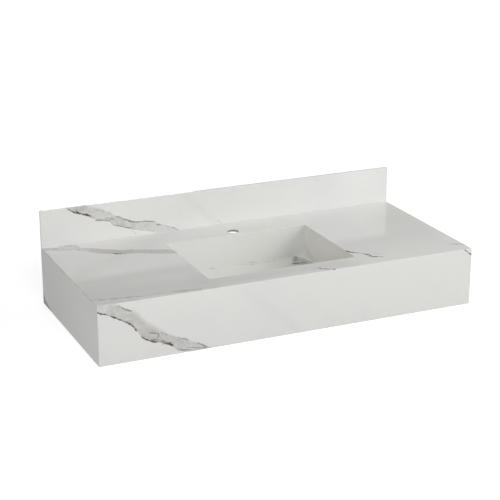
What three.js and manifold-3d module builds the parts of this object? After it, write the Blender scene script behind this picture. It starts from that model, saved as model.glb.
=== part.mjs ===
// Vanity sink top made of mitred, polished stone slabs: a deck with folded-down aprons, a let-in
// basin with a floor that falls four ways to its drain, an upstand, and a push-to-open waste.
// Millimetres. +X runs along the length, +Y points to the wall and +Z up. The origin is at the
// middle of the footprint, level with the bottom edges of the aprons.

import * as THREE from 'three';
import { mergeVertices } from 'three/addons/utils/BufferGeometryUtils.js';
import Module from 'manifold-3d';

// Slab box
const topLength = 1000;
const topDepth = 450;
const apronHeight = 150;
const backsplashHeight = 100;
const slabThickness = 6;
const glueLine = 0.3;
const arrisWidth = 1;
const footEaseWidth = 0.8;

// Basin, measured between its polished faces. The margins are what the deck keeps of its depth in
// front of the basin and behind it.
const basinLength = 394;
const basinFrontMargin = 64;
const basinBackMargin = 101;
const basinWidth = topDepth - basinFrontMargin - basinBackMargin;
const basinDepth = 86;
const rimArrisWidth = 0.6;
const floorFall = 5;
const drainPlateWidth = 90;
const battenWidth = 10;

// Tap hole
const tapHoleDiameter = 30;
const tapHoleSetback = 26;
const tapHoleEase = 0.6;

// Stone strips glued behind the joints
const stripWidth = 20;
const stripEndClearance = 4;
const ribThickness = 6;
const ribHeight = 60;
const railOpeningHalfWidth = 100;

// Wall brackets
const bracketHeight = 110;
const bracketWallLeg = 50;
const bracketSideLeg = 60;
const bracketThickness = 4;
const bracketBendRadius = 6;
const bracketTopClearance = 8;
const slotWidth = 9;
const slotLength = 24;
const slotSpacing = 60;
const bracketBlockThickness = 20;
const bracketBlockSetback = 4;
const screwSpacing = 60;
const screwDiameter = 6;
const screwLength = 20;
const screwHeadFlats = 10;
const screwHeadHeight = 4;
const screwHoleClearance = 0.3;
const screwSetback = 36;

// Waste
const seatGap = 0.3;
const flangeDiameter = 64;
const flangeThickness = 2;
const flangeEdgeEase = 0.8;
const flangeRebateDepth = 3;
const flangeRebateClearance = 1;
const flangeGasketThickness = 1.2;
const neckDiameter = 45;
const neckHoleClearance = 0.5;
const wasteBore = 36;
const seatBevelWidth = 3.5;
const tailDiameter = 42;
const tailLength = 54;
const tailEndEase = 1;
const coneWasherHeight = 6;
const clampRingDiameter = 60;
const coneWasherLipDiameter = 50;
const slipRingThickness = 1.8;
const backNutHeight = 8;
const backNutFlats = 56;
const backNutEase = 1.2;

// Plug and its push cartridge
const plugTravel = 8;
const capDiameter = 60;
const capRimHeight = 1;
const capDomeRise = 3;
const skirtDiameter = 30;
const skirtWall = 2.5;
const skirtDepth = 10;
const sealHeight = 3;
const sealLipHeight = 0.5;
const retainerWidth = 1.2;
const retainerHeight = 1.2;
const capBossDiameter = 12;
const capBossDepth = 11;
const crossbarBossDiameter = 21;
const crossbarHeight = 7;
const crossbarDepth = 17;
const crossbarRibThickness = 3;
const crossbarRibCount = 3;
const cartridgeDiameter = 13.4;
const cartridgeHeadDiameter = 19;
const cartridgeHeadHeight = 3.7;
const cartridgeTailLength = 24;
const cartridgeWall = 1.5;
const cartridgeFloor = 2;
const stemDiameter = 6.2;
const stemClearance = 0.3;
const stemCollarHeight = 2;
const stemTailDiameter = 4.8;
const stemTailLength = 9;
const springWire = 0.9;
const springTurns = 6;
const springSideClearance = 0.6;

// Facets
const hexagonSides = 6;
const largeRoundSides = 48;
const smallRoundSides = 24;
const domeSteps = 6;
const bendSteps = 6;
const springStepsPerTurn = 12;
const springWireSides = 6;
const cutOverrun = 5;
const weldDistance = 1e-4;

// Places that follow from the sizes above
const topZ = apronHeight;
const deckUnderZ = topZ - slabThickness;
const halfLength = topLength / 2;
const frontY = -topDepth / 2;
const wallY = topDepth / 2;
const basinFrontY = frontY + basinFrontMargin;
const basinBackY = basinFrontY + basinWidth;
const basinCentreY = (basinFrontY + basinBackY) / 2;
const tapHoleY = basinBackY + tapHoleSetback;
const floorFootZ = topZ - basinDepth;
const drainZ = floorFootZ - floorFall;
const basinWallHeight = basinDepth + slabThickness + battenWidth;
const jointShift = glueLine * Math.SQRT1_2 / 2;
const apronInnerX = halfLength - slabThickness;
const apronInnerY = frontY + slabThickness;
const stripTopZ = deckUnderZ - glueLine;
const stripBottomZ = stripTopZ - stripWidth;

const wasm = await Module();
wasm.setup();

// Drops the triangles that welding has closed up to a line.
function withoutSlivers(index) {
  const kept = [];
  for (let i = 0; i < index.length; i += 3) {
    const [a, b, c] = [index[i], index[i + 1], index[i + 2]];
    if (a !== b && b !== c && c !== a) kept.push(a, b, c);
  }
  return Uint32Array.from(kept);
}

// Turns a closed three.js geometry into a solid that can be joined and cut.
function toSolid(geometry) {
  const bare = geometry.clone();
  bare.deleteAttribute('normal');
  bare.deleteAttribute('uv');
  const welded = mergeVertices(bare, weldDistance);
  return new wasm.Manifold(new wasm.Mesh({
    numProp: 3,
    vertProperties: Float32Array.from(welded.attributes.position.array),
    triVerts: withoutSlivers(welded.index.array),
  }));
}

function toGeometry(solid) {
  const mesh = solid.getMesh();
  const geometry = new THREE.BufferGeometry();
  geometry.setAttribute('position', new THREE.BufferAttribute(mesh.vertProperties, 3));
  geometry.setIndex(new THREE.BufferAttribute(mesh.triVerts, 1));
  geometry.computeVertexNormals();
  return geometry;
}

function outline(points) {
  return new THREE.Shape(points.map(([x, y]) => new THREE.Vector2(x, y)));
}

function prism(points, length) {
  return new THREE.ExtrudeGeometry(outline(points), { depth: length, bevelEnabled: false });
}

// Prisms along one axis, between two places on it, from an outline in the other two axes.
function prismAlongX(pointsYZ, fromX, toX) {
  const turn = new THREE.Matrix4().makeBasis(
    new THREE.Vector3(0, 1, 0), new THREE.Vector3(0, 0, 1), new THREE.Vector3(1, 0, 0));
  return toSolid(prism(pointsYZ, toX - fromX).applyMatrix4(turn).translate(fromX, 0, 0));
}

function prismAlongY(pointsXZ, fromY, toY) {
  const turn = new THREE.Matrix4().makeRotationX(Math.PI / 2);
  return toSolid(prism(pointsXZ, toY - fromY).applyMatrix4(turn).translate(0, toY, 0));
}

function prismAlongZ(pointsXY, fromZ, toZ) {
  return toSolid(prism(pointsXY, toZ - fromZ).translate(0, 0, fromZ));
}

// A block between two corners.
function block([x0, y0, z0], [x1, y1, z1]) {
  const geometry = new THREE.BoxGeometry(x1 - x0, y1 - y0, z1 - z0);
  return toSolid(geometry.translate((x0 + x1) / 2, (y0 + y1) / 2, (z0 + z1) / 2));
}

// A round solid about Z, from an outline of [radius, height] pairs that runs anticlockwise from
// the axis back to the axis, or closes on itself.
function revolve(points, sides) {
  const profile = points.map(([radius, height]) => new THREE.Vector2(radius, height));
  const clearOfAxis = points[0][0] !== 0;
  if (clearOfAxis) profile.push(profile[0].clone());
  return toSolid(new THREE.LatheGeometry(profile, sides).rotateX(Math.PI / 2));
}

// A round pin along Z between two heights.
function pin(radius, fromZ, toZ, sides) {
  return revolve([[0, fromZ], [radius, fromZ], [radius, toZ], [0, toZ]], sides);
}

// The end of a slab at a 45 degree joint: the edge of the eased arris, the joint's outer end and
// its inner end. along runs from the corner over the face, and inward from the face into the slab.
function mitreEnd([cornerA, cornerB], [alongA, alongB], [inwardA, inwardB], arris) {
  const steps = [
    [arris, 0],
    [arris / 2 + jointShift, arris / 2 - jointShift],
    [slabThickness + 2 * jointShift, slabThickness],
  ];
  return steps.map(([run, sink]) => [
    cornerA + alongA * run + inwardA * sink,
    cornerB + alongB * run + inwardB * sink,
  ]);
}

function mirrored(points) {
  return points.map(([x, other]) => [-x, other]).reverse();
}

// The opening that the basin leaves in the deck, its sides bevelled to meet the basin walls.
function basinOpening() {
  const aboveZ = topZ + cutOverrun;
  const belowZ = deckUnderZ - cutOverrun;
  const side = mitreEnd([basinLength / 2, topZ], [1, 0], [0, -1], rimArrisWidth);
  const right = [[side[2][0], belowZ], ...side.toReversed(), [side[0][0], aboveZ]];
  const front = mitreEnd([basinFrontY, topZ], [-1, 0], [0, -1], rimArrisWidth);
  const back = mitreEnd([basinBackY, topZ], [1, 0], [0, -1], rimArrisWidth);
  const acrossY = [
    [back[2][0], belowZ], ...back.toReversed(), [back[0][0], aboveZ],
    [front[0][0], aboveZ], ...front, [front[2][0], belowZ],
  ];
  return prismAlongY([...right, ...mirrored(right)], frontY, wallY)
    .intersect(prismAlongX(acrossY, -halfLength, halfLength));
}

function tapHole() {
  const radius = tapHoleDiameter / 2;
  const flaredRadius = radius + tapHoleEase;
  return revolve([
    [0, deckUnderZ - cutOverrun],
    [radius, deckUnderZ - cutOverrun],
    [radius, topZ - tapHoleEase],
    [flaredRadius, topZ],
    [flaredRadius, topZ + cutOverrun],
    [0, topZ + cutOverrun],
  ], largeRoundSides).translate([0, tapHoleY, 0]);
}

function deck() {
  const right = mitreEnd([halfLength, topZ], [-1, 0], [0, -1], arrisWidth).toReversed();
  const front = mitreEnd([frontY, topZ], [1, 0], [0, -1], arrisWidth);
  const alongDepth = prismAlongY([...right, ...mirrored(right)], frontY, wallY);
  const alongLength = prismAlongX(
    [[wallY, deckUnderZ], [wallY, topZ], ...front], -halfLength, halfLength);
  return alongDepth.intersect(alongLength).subtract(basinOpening()).subtract(tapHole());
}

function frontApron() {
  const crown = mitreEnd([frontY, topZ], [0, -1], [1, 0], arrisWidth);
  const section = [
    ...crown,
    [apronInnerY, footEaseWidth],
    [apronInnerY - footEaseWidth, 0],
    [frontY + footEaseWidth, 0],
    [frontY, footEaseWidth],
  ];
  const right = mitreEnd([halfLength, frontY], [-1, 0], [0, 1], arrisWidth);
  return prismAlongX(section, -halfLength, halfLength)
    .intersect(prismAlongZ([...right, ...mirrored(right)], 0, topZ));
}

// side is 1 for the right apron and -1 for the left one.
function sideApron(side) {
  const crown = mitreEnd([halfLength, topZ], [0, -1], [-1, 0], arrisWidth);
  const section = [
    ...crown,
    [apronInnerX, footEaseWidth],
    [apronInnerX + footEaseWidth, 0],
    [halfLength - footEaseWidth, 0],
    [halfLength, footEaseWidth],
  ];
  const front = mitreEnd([halfLength, frontY], [0, 1], [-1, 0], arrisWidth);
  const plan = [
    ...front,
    [apronInnerX, wallY],
    [halfLength - footEaseWidth, wallY],
    [halfLength, wallY - footEaseWidth],
  ];
  const flip = (points) => points.map(([x, other]) => [side * x, other]);
  return prismAlongY(flip(section), frontY, wallY).intersect(prismAlongZ(flip(plan), 0, topZ));
}

function backsplash() {
  const footZ = topZ + glueLine;
  const crownZ = topZ + backsplashHeight;
  const faceY = wallY - slabThickness;
  const section = [
    [faceY, footZ],
    [faceY, crownZ - footEaseWidth],
    [faceY + footEaseWidth, crownZ],
    [wallY - footEaseWidth, crownZ],
    [wallY, crownZ - footEaseWidth],
    [wallY, footZ],
  ];
  const right = [
    [halfLength - footEaseWidth, faceY],
    [halfLength, faceY + footEaseWidth],
    [halfLength, wallY - footEaseWidth],
    [halfLength - footEaseWidth, wallY],
  ];
  return prismAlongX(section, -halfLength, halfLength)
    .intersect(prismAlongZ([...right, ...mirrored(right)], footZ, crownZ));
}

// The four sides of the basin. A piece for a side is made with its rim or foot line along X and
// +Y pointing out of the basin, then turned and moved to its side.
const longSide = { length: basinLength, across: basinWidth };
const shortSide = { length: basinWidth, across: basinLength };
const basinSides = {
  back: { ...longSide, turn: 0, x: 0, y: basinBackY },
  left: { ...shortSide, turn: Math.PI / 2, x: -basinLength / 2, y: basinCentreY },
  front: { ...longSide, turn: Math.PI, x: 0, y: basinFrontY },
  right: { ...shortSide, turn: -Math.PI / 2, x: basinLength / 2, y: basinCentreY },
};

// A basin wall, mitred to the deck along its rim and to its neighbours in the inner corners.
function basinWall({ length }) {
  const rim = mitreEnd([0, 0], [0, -1], [1, 0], rimArrisWidth);
  const section = [...rim, [slabThickness, -basinWallHeight], [0, -basinWallHeight]];
  const half = length / 2;
  const plan = [
    [half - 2 * jointShift, 0],
    [half + slabThickness - 2 * jointShift, slabThickness],
  ];
  return prismAlongX(section, -half - slabThickness, half + slabThickness)
    .intersect(prismAlongZ([...plan, ...mirrored(plan)], -basinWallHeight, 0));
}

// Moves each edge of a convex outline inwards by its own amount.
function inset(points, amounts) {
  const edges = points.map(([ax, ay], i) => {
    const [bx, by] = points[(i + 1) % points.length];
    const run = Math.hypot(bx - ax, by - ay);
    const normal = [-(by - ay) / run, (bx - ax) / run];
    return { normal, offset: normal[0] * ax + normal[1] * ay + amounts[i] };
  });
  return edges.map((edge, i) => {
    const previous = edges[(i + edges.length - 1) % edges.length];
    const [ax, ay] = previous.normal;
    const [bx, by] = edge.normal;
    const spread = ax * by - ay * bx;
    return [
      (previous.offset * by - edge.offset * ay) / spread,
      (edge.offset * ax - previous.offset * bx) / spread,
    ];
  });
}

// One of the four floor panels: it falls from the foot of its wall to the drain plate, and meets
// its neighbours in the creases that run from the basin's corners to the plate's corners.
function floorPanel({ length, across }) {
  const run = (across - drainPlateWidth) / 2;
  const corners = [
    [-length / 2, 0],
    [-drainPlateWidth / 2, -run],
    [drainPlateWidth / 2, -run],
    [length / 2, 0],
  ];
  const amounts = [glueLine / 2, glueLine / 2, glueLine / 2, glueLine];
  const flat = prism(inset(corners, amounts), slabThickness).translate(0, 0, -slabThickness);
  const fall = new THREE.Matrix4().makeShear(0, 0, 0, floorFall / run, 0, 0);
  return toSolid(flat.applyMatrix4(fall));
}

// A batten under the edge of a floor panel, glued to the foot of the wall. Those at the back and
// front run the whole length, and the others fit between them.
function floorBatten({ length, across }, fitsBetween) {
  const run = (across - drainPlateWidth) / 2;
  const crownZ = -slabThickness - glueLine - battenWidth * floorFall / run;
  const footZ = -slabThickness - battenWidth;
  const half = length / 2 - glueLine - (fitsBetween ? battenWidth + glueLine : 0);
  return block([-half, -glueLine - battenWidth, footZ], [half, -glueLine, crownZ]);
}

// The flat plate round the drain, with a milled rebate that the flange of the waste sits in.
function drainPlate() {
  const half = (drainPlateWidth - glueLine) / 2;
  const plate = block([-half, -half, -slabThickness], [half, half, 0]);
  const rebateRadius = flangeDiameter / 2 + flangeRebateClearance;
  const holeRadius = neckDiameter / 2 + neckHoleClearance;
  return plate.subtract(revolve([
    [0, -slabThickness - cutOverrun],
    [holeRadius, -slabThickness - cutOverrun],
    [holeRadius, -flangeRebateDepth],
    [rebateRadius, -flangeRebateDepth],
    [rebateRadius, cutOverrun],
    [0, cutOverrun],
  ], largeRoundSides));
}

// Strips glued into the inner corner between the deck and each apron, and along the wall.
const frontStripY = apronInnerY + glueLine;
const frontStripBackY = frontStripY + stripWidth;
const sideStripX = apronInnerX - glueLine;
const sideStripInnerX = sideStripX - stripWidth;
const bracketBlockBackY = wallY - bracketBlockSetback;
const bracketBlockFrontY = bracketBlockBackY - bracketSideLeg;
const railBackY = wallY - bracketBlockSetback;
const railFrontY = railBackY - stripWidth;

function frontStrip() {
  const half = apronInnerX - glueLine - stripEndClearance;
  return block([-half, frontStripY, stripBottomZ], [half, frontStripBackY, stripTopZ]);
}

function sideStrip(side) {
  const xs = [side * sideStripX, side * sideStripInnerX].sort((a, b) => a - b);
  return block(
    [xs[0], frontStripBackY + glueLine, stripBottomZ],
    [xs[1], bracketBlockFrontY - glueLine, stripTopZ]);
}

// The rail along the wall leaves the middle free for the tap's shank and hoses.
function rearRail(side) {
  const outerX = sideStripInnerX - bracketWallLeg;
  const xs = [side * railOpeningHalfWidth, side * outerX].sort((a, b) => a - b);
  return block([xs[0], railFrontY, stripBottomZ], [xs[1], railBackY, stripTopZ]);
}

// A rib on edge under the deck, halfway between the basin and the apron.
function deckRib(side) {
  const middleX = side * (basinLength / 2 + slabThickness + apronInnerX) / 2;
  return block(
    [middleX - ribThickness / 2, frontStripBackY + glueLine, stripTopZ - ribHeight],
    [middleX + ribThickness / 2, railFrontY - glueLine, stripTopZ]);
}

// The fixings of one end are modelled for the right-hand end, about the middle height of the
// bracket, with the apron's inner face at X 0 and the wall at Y 0.
const blockX = -glueLine;
const blockInnerX = blockX - bracketBlockThickness;
const bracketX = blockInnerX - seatGap;
const bracketInnerX = bracketX - bracketThickness;
const screwY = -bracketBlockSetback - screwSetback;
const screwZs = [screwSpacing / 2, -screwSpacing / 2];

// A pin along X between two places on it.
function pinAlongX(radius, fromX, toX) {
  return pin(radius, fromX, toX, smallRoundSides).rotate([0, 90, 0]);
}

function screwHoles(fromX, toX) {
  const radius = screwDiameter / 2 + screwHoleClearance;
  const holes = screwZs.map((z) => pinAlongX(radius, fromX, toX).translate([0, screwY, z]));
  return holes[0].add(holes[1]);
}

function bracketBlock() {
  const body = block(
    [blockInnerX, -bracketBlockSetback - bracketSideLeg, -bracketHeight / 2],
    [blockX, -bracketBlockSetback, bracketHeight / 2]);
  const tipX = bracketInnerX + screwLength + screwHoleClearance;
  return body.subtract(screwHoles(blockInnerX - cutOverrun, tipX));
}

// A quarter turn of a bend, as points about its centre.
function bend(centreX, centreY, radius, fromAngle, toAngle) {
  return Array.from({ length: bendSteps + 1 }, (_, i) => {
    const angle = fromAngle + (toAngle - fromAngle) * i / bendSteps;
    return [centreX + radius * Math.cos(angle), centreY + radius * Math.sin(angle)];
  });
}

// A steel angle bent from plate: one leg against the block, and one against the wall with two
// level slots.
function wallBracket() {
  const centreX = bracketX - bracketBendRadius;
  const centreY = -bracketBendRadius;
  const innerRadius = bracketBendRadius - bracketThickness;
  const sideEndY = -bracketBlockSetback - bracketSideLeg;
  const wallEndX = bracketX - bracketWallLeg;
  const plan = [
    [bracketX, sideEndY],
    ...bend(centreX, centreY, bracketBendRadius, 0, Math.PI / 2),
    [wallEndX, 0],
    [wallEndX, -bracketThickness],
    ...bend(centreX, centreY, innerRadius, Math.PI / 2, 0),
    [bracketInnerX, sideEndY],
  ];
  const angle = prismAlongZ(plan, -bracketHeight / 2, bracketHeight / 2);
  const slotX = (bracketInnerX - bracketBendRadius + wallEndX) / 2;
  const slots = [slotSpacing / 2, -slotSpacing / 2].map((z) => wallSlot(slotX, z));
  return angle
    .subtract(screwHoles(bracketInnerX - cutOverrun, bracketX + cutOverrun))
    .subtract(slots[0])
    .subtract(slots[1]);
}

// A level slot with round ends, through the leg against the wall.
function wallSlot(centreX, centreZ) {
  const radius = slotWidth / 2;
  const reach = slotLength / 2 - radius;
  const quarter = Math.PI / 2;
  const ends = [
    ...bend(reach, 0, radius, -quarter, quarter),
    ...bend(-reach, 0, radius, quarter, 3 * quarter),
  ];
  const points = ends.map(([x, z]) => [centreX + x, centreZ + z]);
  return prismAlongY(points, -bracketThickness - cutOverrun, cutOverrun);
}

// The radius to the corners of a hexagon that measures flats across.
function hexagonRadius(flats) {
  return flats / 2 / Math.cos(Math.PI / hexagonSides);
}

function hexagon(flats) {
  const radius = hexagonRadius(flats);
  return Array.from({ length: hexagonSides }, (_, i) => {
    const angle = 2 * Math.PI * i / hexagonSides;
    return [radius * Math.cos(angle), radius * Math.sin(angle)];
  });
}

// A hexagon with its corners turned off at both ends, as on a nut or a bolt head.
function turnedHexagon(flats, height, ease, sides) {
  const cornerRadius = hexagonRadius(flats);
  const turned = revolve([
    [0, 0],
    [cornerRadius - ease, 0],
    [cornerRadius, ease / 2],
    [cornerRadius, height - ease / 2],
    [cornerRadius - ease, height],
    [0, height],
  ], sides);
  return prismAlongZ(hexagon(flats), 0, height).intersect(turned);
}

// A hexagon-head screw that lies along X, its head seated on the bracket.
function bracketScrew() {
  const underHeadX = bracketInnerX - seatGap;
  const headEase = screwHeadHeight / 4;
  const head = turnedHexagon(screwHeadFlats, screwHeadHeight, headEase, smallRoundSides)
    .rotate([0, 90, 0])
    .translate([underHeadX - screwHeadHeight, 0, 0]);
  const tipX = bracketInnerX + screwLength;
  const shank = pinAlongX(screwDiameter / 2, underHeadX - screwHeadHeight / 2, tipX);
  return head.add(shank);
}

// Heights of the waste, from the top of the drain plate.
const flangeSeatZ = -flangeRebateDepth;
const gasketFootZ = flangeSeatZ + seatGap;
const gasketTopZ = gasketFootZ + flangeGasketThickness;
const flangeUnderZ = gasketTopZ + seatGap;
const flangeTopZ = flangeUnderZ + flangeThickness;
const tailEndZ = flangeUnderZ - tailLength;
const crossbarTopZ = -crossbarDepth;
const crossbarFootZ = crossbarTopZ - crossbarHeight;
const coneWasherTopZ = -slabThickness - seatGap;
const coneWasherFootZ = coneWasherTopZ - coneWasherHeight;
const slipRingTopZ = coneWasherFootZ - seatGap;
const slipRingFootZ = slipRingTopZ - slipRingThickness;
const backNutTopZ = slipRingFootZ - seatGap;
const backNutFootZ = backNutTopZ - backNutHeight;
const boreRadius = wasteBore / 2;
const tailRadius = tailDiameter / 2;
const threadRadius = tailRadius + seatGap;

// The chromed waste: flange, bevelled seat, neck, tail, and the crossbar that carries the push
// cartridge in a round boss.
function wasteBody() {
  const flangeRadius = flangeDiameter / 2;
  const neckRadius = neckDiameter / 2;
  const shell = revolve([
    [boreRadius, tailEndZ],
    [tailRadius - tailEndEase, tailEndZ],
    [tailRadius, tailEndZ + tailEndEase],
    [tailRadius, -slabThickness],
    [neckRadius, -slabThickness],
    [neckRadius, flangeUnderZ],
    [flangeRadius, flangeUnderZ],
    [flangeRadius, flangeTopZ - flangeEdgeEase],
    [flangeRadius - flangeEdgeEase, flangeTopZ],
    [boreRadius + seatBevelWidth, flangeTopZ],
    [boreRadius, flangeTopZ - seatBevelWidth],
  ], largeRoundSides);
  const bossRadius = crossbarBossDiameter / 2;
  const boss = pin(bossRadius, crossbarFootZ, crossbarTopZ, smallRoundSides);
  const midWallRadius = (boreRadius + tailRadius) / 2;
  const ribs = Array.from({ length: crossbarRibCount }, (_, i) => block(
    [-crossbarRibThickness / 2, 0, crossbarFootZ],
    [crossbarRibThickness / 2, midWallRadius, crossbarTopZ],
  ).rotate([0, 0, 360 * i / crossbarRibCount]));
  const holeRadius = cartridgeDiameter / 2 + seatGap;
  const bossHole = pin(
    holeRadius, crossbarFootZ - cutOverrun, crossbarTopZ + cutOverrun, smallRoundSides);
  return ribs.reduce((solid, rib) => solid.add(rib), shell.add(boss)).subtract(bossHole);
}

// A flat ring about Z.
function ring(innerRadius, outerRadius, footZ, topOfRingZ) {
  return revolve([
    [innerRadius, footZ],
    [outerRadius, footZ],
    [outerRadius, topOfRingZ],
    [innerRadius, topOfRingZ],
  ], largeRoundSides);
}

function flangeGasket() {
  const innerRadius = neckDiameter / 2 + seatGap;
  return ring(innerRadius, flangeDiameter / 2 - flangeEdgeEase, gasketFootZ, gasketTopZ);
}

// The rubber washer under the drain plate is thick at its outer edge and thins to a lip.
function coneWasher() {
  const outerRadius = clampRingDiameter / 2;
  return revolve([
    [threadRadius, coneWasherFootZ],
    [outerRadius, coneWasherFootZ],
    [outerRadius, coneWasherFootZ + coneWasherHeight / 2],
    [coneWasherLipDiameter / 2 + coneWasherHeight / 2, coneWasherTopZ],
    [threadRadius, coneWasherTopZ],
  ], largeRoundSides);
}

function slipRing() {
  return ring(threadRadius, clampRingDiameter / 2, slipRingFootZ, slipRingTopZ);
}

function backNut() {
  const hole = pin(threadRadius, -cutOverrun, backNutHeight + cutOverrun, largeRoundSides);
  return turnedHexagon(backNutFlats, backNutHeight, backNutEase, largeRoundSides)
    .subtract(hole)
    .translate([0, 0, backNutFootZ]);
}

// Heights of the cartridge and the stem, with the plug down on its seat.
const cartridgeSeatZ = crossbarTopZ + seatGap;
const cartridgeTopZ = cartridgeSeatZ + cartridgeHeadHeight;
const cartridgeFootZ = crossbarFootZ - (cartridgeTailLength - crossbarHeight);
const neckOfCartridgeZ = cartridgeTopZ - cartridgeWall;
const cavityFootZ = cartridgeFootZ + cartridgeFloor;
const cavityRadius = cartridgeDiameter / 2 - cartridgeWall;
const collarRadius = cavityRadius - stemClearance;
const collarTopZ = neckOfCartridgeZ - seatGap - plugTravel;
const collarFootZ = collarTopZ - stemCollarHeight;
const stemRadius = stemDiameter / 2;
const plugSeatZ = flangeTopZ + seatGap;
const stemTopZ = plugSeatZ - seatGap;
const sealTopZ = plugSeatZ - seatGap;

// The push cartridge: a threaded barrel that hangs in the crossbar by its head, open at the top
// where the stem comes out.
function cartridge() {
  const barrelRadius = cartridgeDiameter / 2;
  const headRadius = cartridgeHeadDiameter / 2;
  const stemHoleRadius = stemRadius + stemClearance;
  return revolve([
    [0, cartridgeFootZ],
    [barrelRadius, cartridgeFootZ],
    [barrelRadius, cartridgeSeatZ],
    [headRadius, cartridgeSeatZ],
    [headRadius, cartridgeTopZ],
    [stemHoleRadius, cartridgeTopZ],
    [stemHoleRadius, neckOfCartridgeZ],
    [cavityRadius, neckOfCartridgeZ],
    [cavityRadius, cavityFootZ],
    [0, cavityFootZ],
  ], smallRoundSides);
}

function stem() {
  const tailOfStemRadius = stemTailDiameter / 2;
  const tailOfStemZ = collarFootZ - stemTailLength;
  return revolve([
    [0, tailOfStemZ],
    [tailOfStemRadius, tailOfStemZ],
    [tailOfStemRadius, collarFootZ],
    [collarRadius, collarFootZ],
    [collarRadius, collarTopZ],
    [stemRadius, collarTopZ],
    [stemRadius, stemTopZ],
    [0, stemTopZ],
  ], smallRoundSides);
}

// The spring under the stem's collar, one unbroken tube wound on a helix.
function spring() {
  const turnRadius = cavityRadius - springSideClearance - springWire / 2;
  const lowZ = cavityFootZ + seatGap + springWire / 2;
  const highZ = collarFootZ - seatGap - springWire / 2;
  const steps = springTurns * springStepsPerTurn;
  const positions = [];
  for (let i = 0; i <= steps; i += 1) {
    const angle = 2 * Math.PI * i / springStepsPerTurn;
    const centreZ = lowZ + (highZ - lowZ) * i / steps;
    for (let j = 0; j < springWireSides; j += 1) {
      const turn = 2 * Math.PI * j / springWireSides;
      const radius = turnRadius + springWire / 2 * Math.cos(turn);
      const z = centreZ + springWire / 2 * Math.sin(turn);
      positions.push(radius * Math.cos(angle), radius * Math.sin(angle), z);
    }
  }
  return tubeFromRings(positions, steps + 1, springWireSides);
}

// Joins rings of points into a closed tube with flat ends.
function tubeFromRings(positions, ringCount, sides) {
  const index = [];
  for (let i = 0; i + 1 < ringCount; i += 1) {
    for (let j = 0; j < sides; j += 1) {
      const a = i * sides + j;
      const b = i * sides + (j + 1) % sides;
      index.push(a, b + sides, b, a, a + sides, b + sides);
    }
  }
  const last = (ringCount - 1) * sides;
  for (let j = 1; j + 1 < sides; j += 1) {
    index.push(0, j, j + 1, last, last + j + 1, last + j);
  }
  const geometry = new THREE.BufferGeometry();
  geometry.setAttribute('position', new THREE.Float32BufferAttribute(positions, 3));
  geometry.setIndex(index);
  return toSolid(geometry);
}

// The domed cap covers the flange. Its skirt carries the seal above a retaining lip, and its
// boss takes the stem.
function plugCap() {
  const rimRadius = capDiameter / 2;
  const shoulderZ = plugSeatZ + capRimHeight;
  const dome = Array.from({ length: domeSteps + 1 }, (_, i) => {
    const angle = Math.PI / 2 * i / domeSteps;
    return [rimRadius * Math.cos(angle), shoulderZ + capDomeRise * Math.sin(angle)];
  });
  dome[domeSteps][0] = 0;
  const skirtRadius = skirtDiameter / 2;
  const skirtInnerRadius = skirtRadius - skirtWall;
  const skirtFootZ = plugSeatZ - skirtDepth;
  const lipTopZ = sealTopZ - sealHeight - seatGap;
  const lipFootZ = lipTopZ - retainerHeight;
  const bossRadius = capBossDiameter / 2;
  const bossHoleRadius = stemRadius + stemClearance;
  const bossFootZ = plugSeatZ - capBossDepth;
  const socketZ = stemTopZ + seatGap;
  return revolve([
    [0, socketZ],
    [bossHoleRadius, socketZ],
    [bossHoleRadius, bossFootZ],
    [bossRadius, bossFootZ],
    [bossRadius, plugSeatZ],
    [skirtInnerRadius, plugSeatZ],
    [skirtInnerRadius, skirtFootZ],
    [skirtRadius, skirtFootZ],
    [skirtRadius, lipFootZ],
    [skirtRadius + retainerWidth, lipFootZ],
    [skirtRadius + retainerWidth, lipTopZ],
    [skirtRadius, lipTopZ],
    [skirtRadius, plugSeatZ],
    [rimRadius, plugSeatZ],
    ...dome,
  ], largeRoundSides);
}

// The rubber seal round the skirt, bevelled to match the seat in the flange.
function plugSeal() {
  const footZ = sealTopZ - sealHeight;
  const lipZ = sealTopZ - sealLipHeight;
  const bevelRadius = (z) => boreRadius + seatBevelWidth + z - flangeTopZ - seatGap * Math.SQRT2;
  return revolve([
    [skirtDiameter / 2 + seatGap, footZ],
    [bevelRadius(footZ), footZ],
    [bevelRadius(lipZ), lipZ],
    [bevelRadius(lipZ), sealTopZ],
    [skirtDiameter / 2 + seatGap, sealTopZ],
  ], largeRoundSides);
}

// Finishes, one material for each mesh.
const finishes = {
  polishedStone: { color: 0xdbdad5, roughness: 0.12, metalness: 0 },
  sawnStone: { color: 0xc4c1ba, roughness: 0.8, metalness: 0 },
  stainless: { color: 0xb9bbbd, roughness: 0.35, metalness: 1 },
  zincPlate: { color: 0xc7cacc, roughness: 0.3, metalness: 1 },
  chrome: { color: 0xe8eaec, roughness: 0.06, metalness: 1 },
  brass: { color: 0xc9a45a, roughness: 0.3, metalness: 1 },
  rubber: { color: 0x1d1d1e, roughness: 0.75, metalness: 0 },
  nylon: { color: 0xe9e7df, roughness: 0.5, metalness: 0 },
  acetal: { color: 0xf0efec, roughness: 0.4, metalness: 0 },
  springSteel: { color: 0x9c9ea0, roughness: 0.3, metalness: 1 },
};

function piece(name, solid, finish) {
  const mesh = new THREE.Mesh(toGeometry(solid), new THREE.MeshStandardMaterial(finishes[finish]));
  mesh.name = name;
  return mesh;
}

function slabs() {
  const group = new THREE.Group();
  group.add(
    piece('deck', deck(), 'polishedStone'),
    piece('front_apron', frontApron(), 'polishedStone'),
    piece('left_apron', sideApron(-1), 'polishedStone'),
    piece('right_apron', sideApron(1), 'polishedStone'),
    piece('backsplash', backsplash(), 'polishedStone'),
  );
  return group;
}

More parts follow.
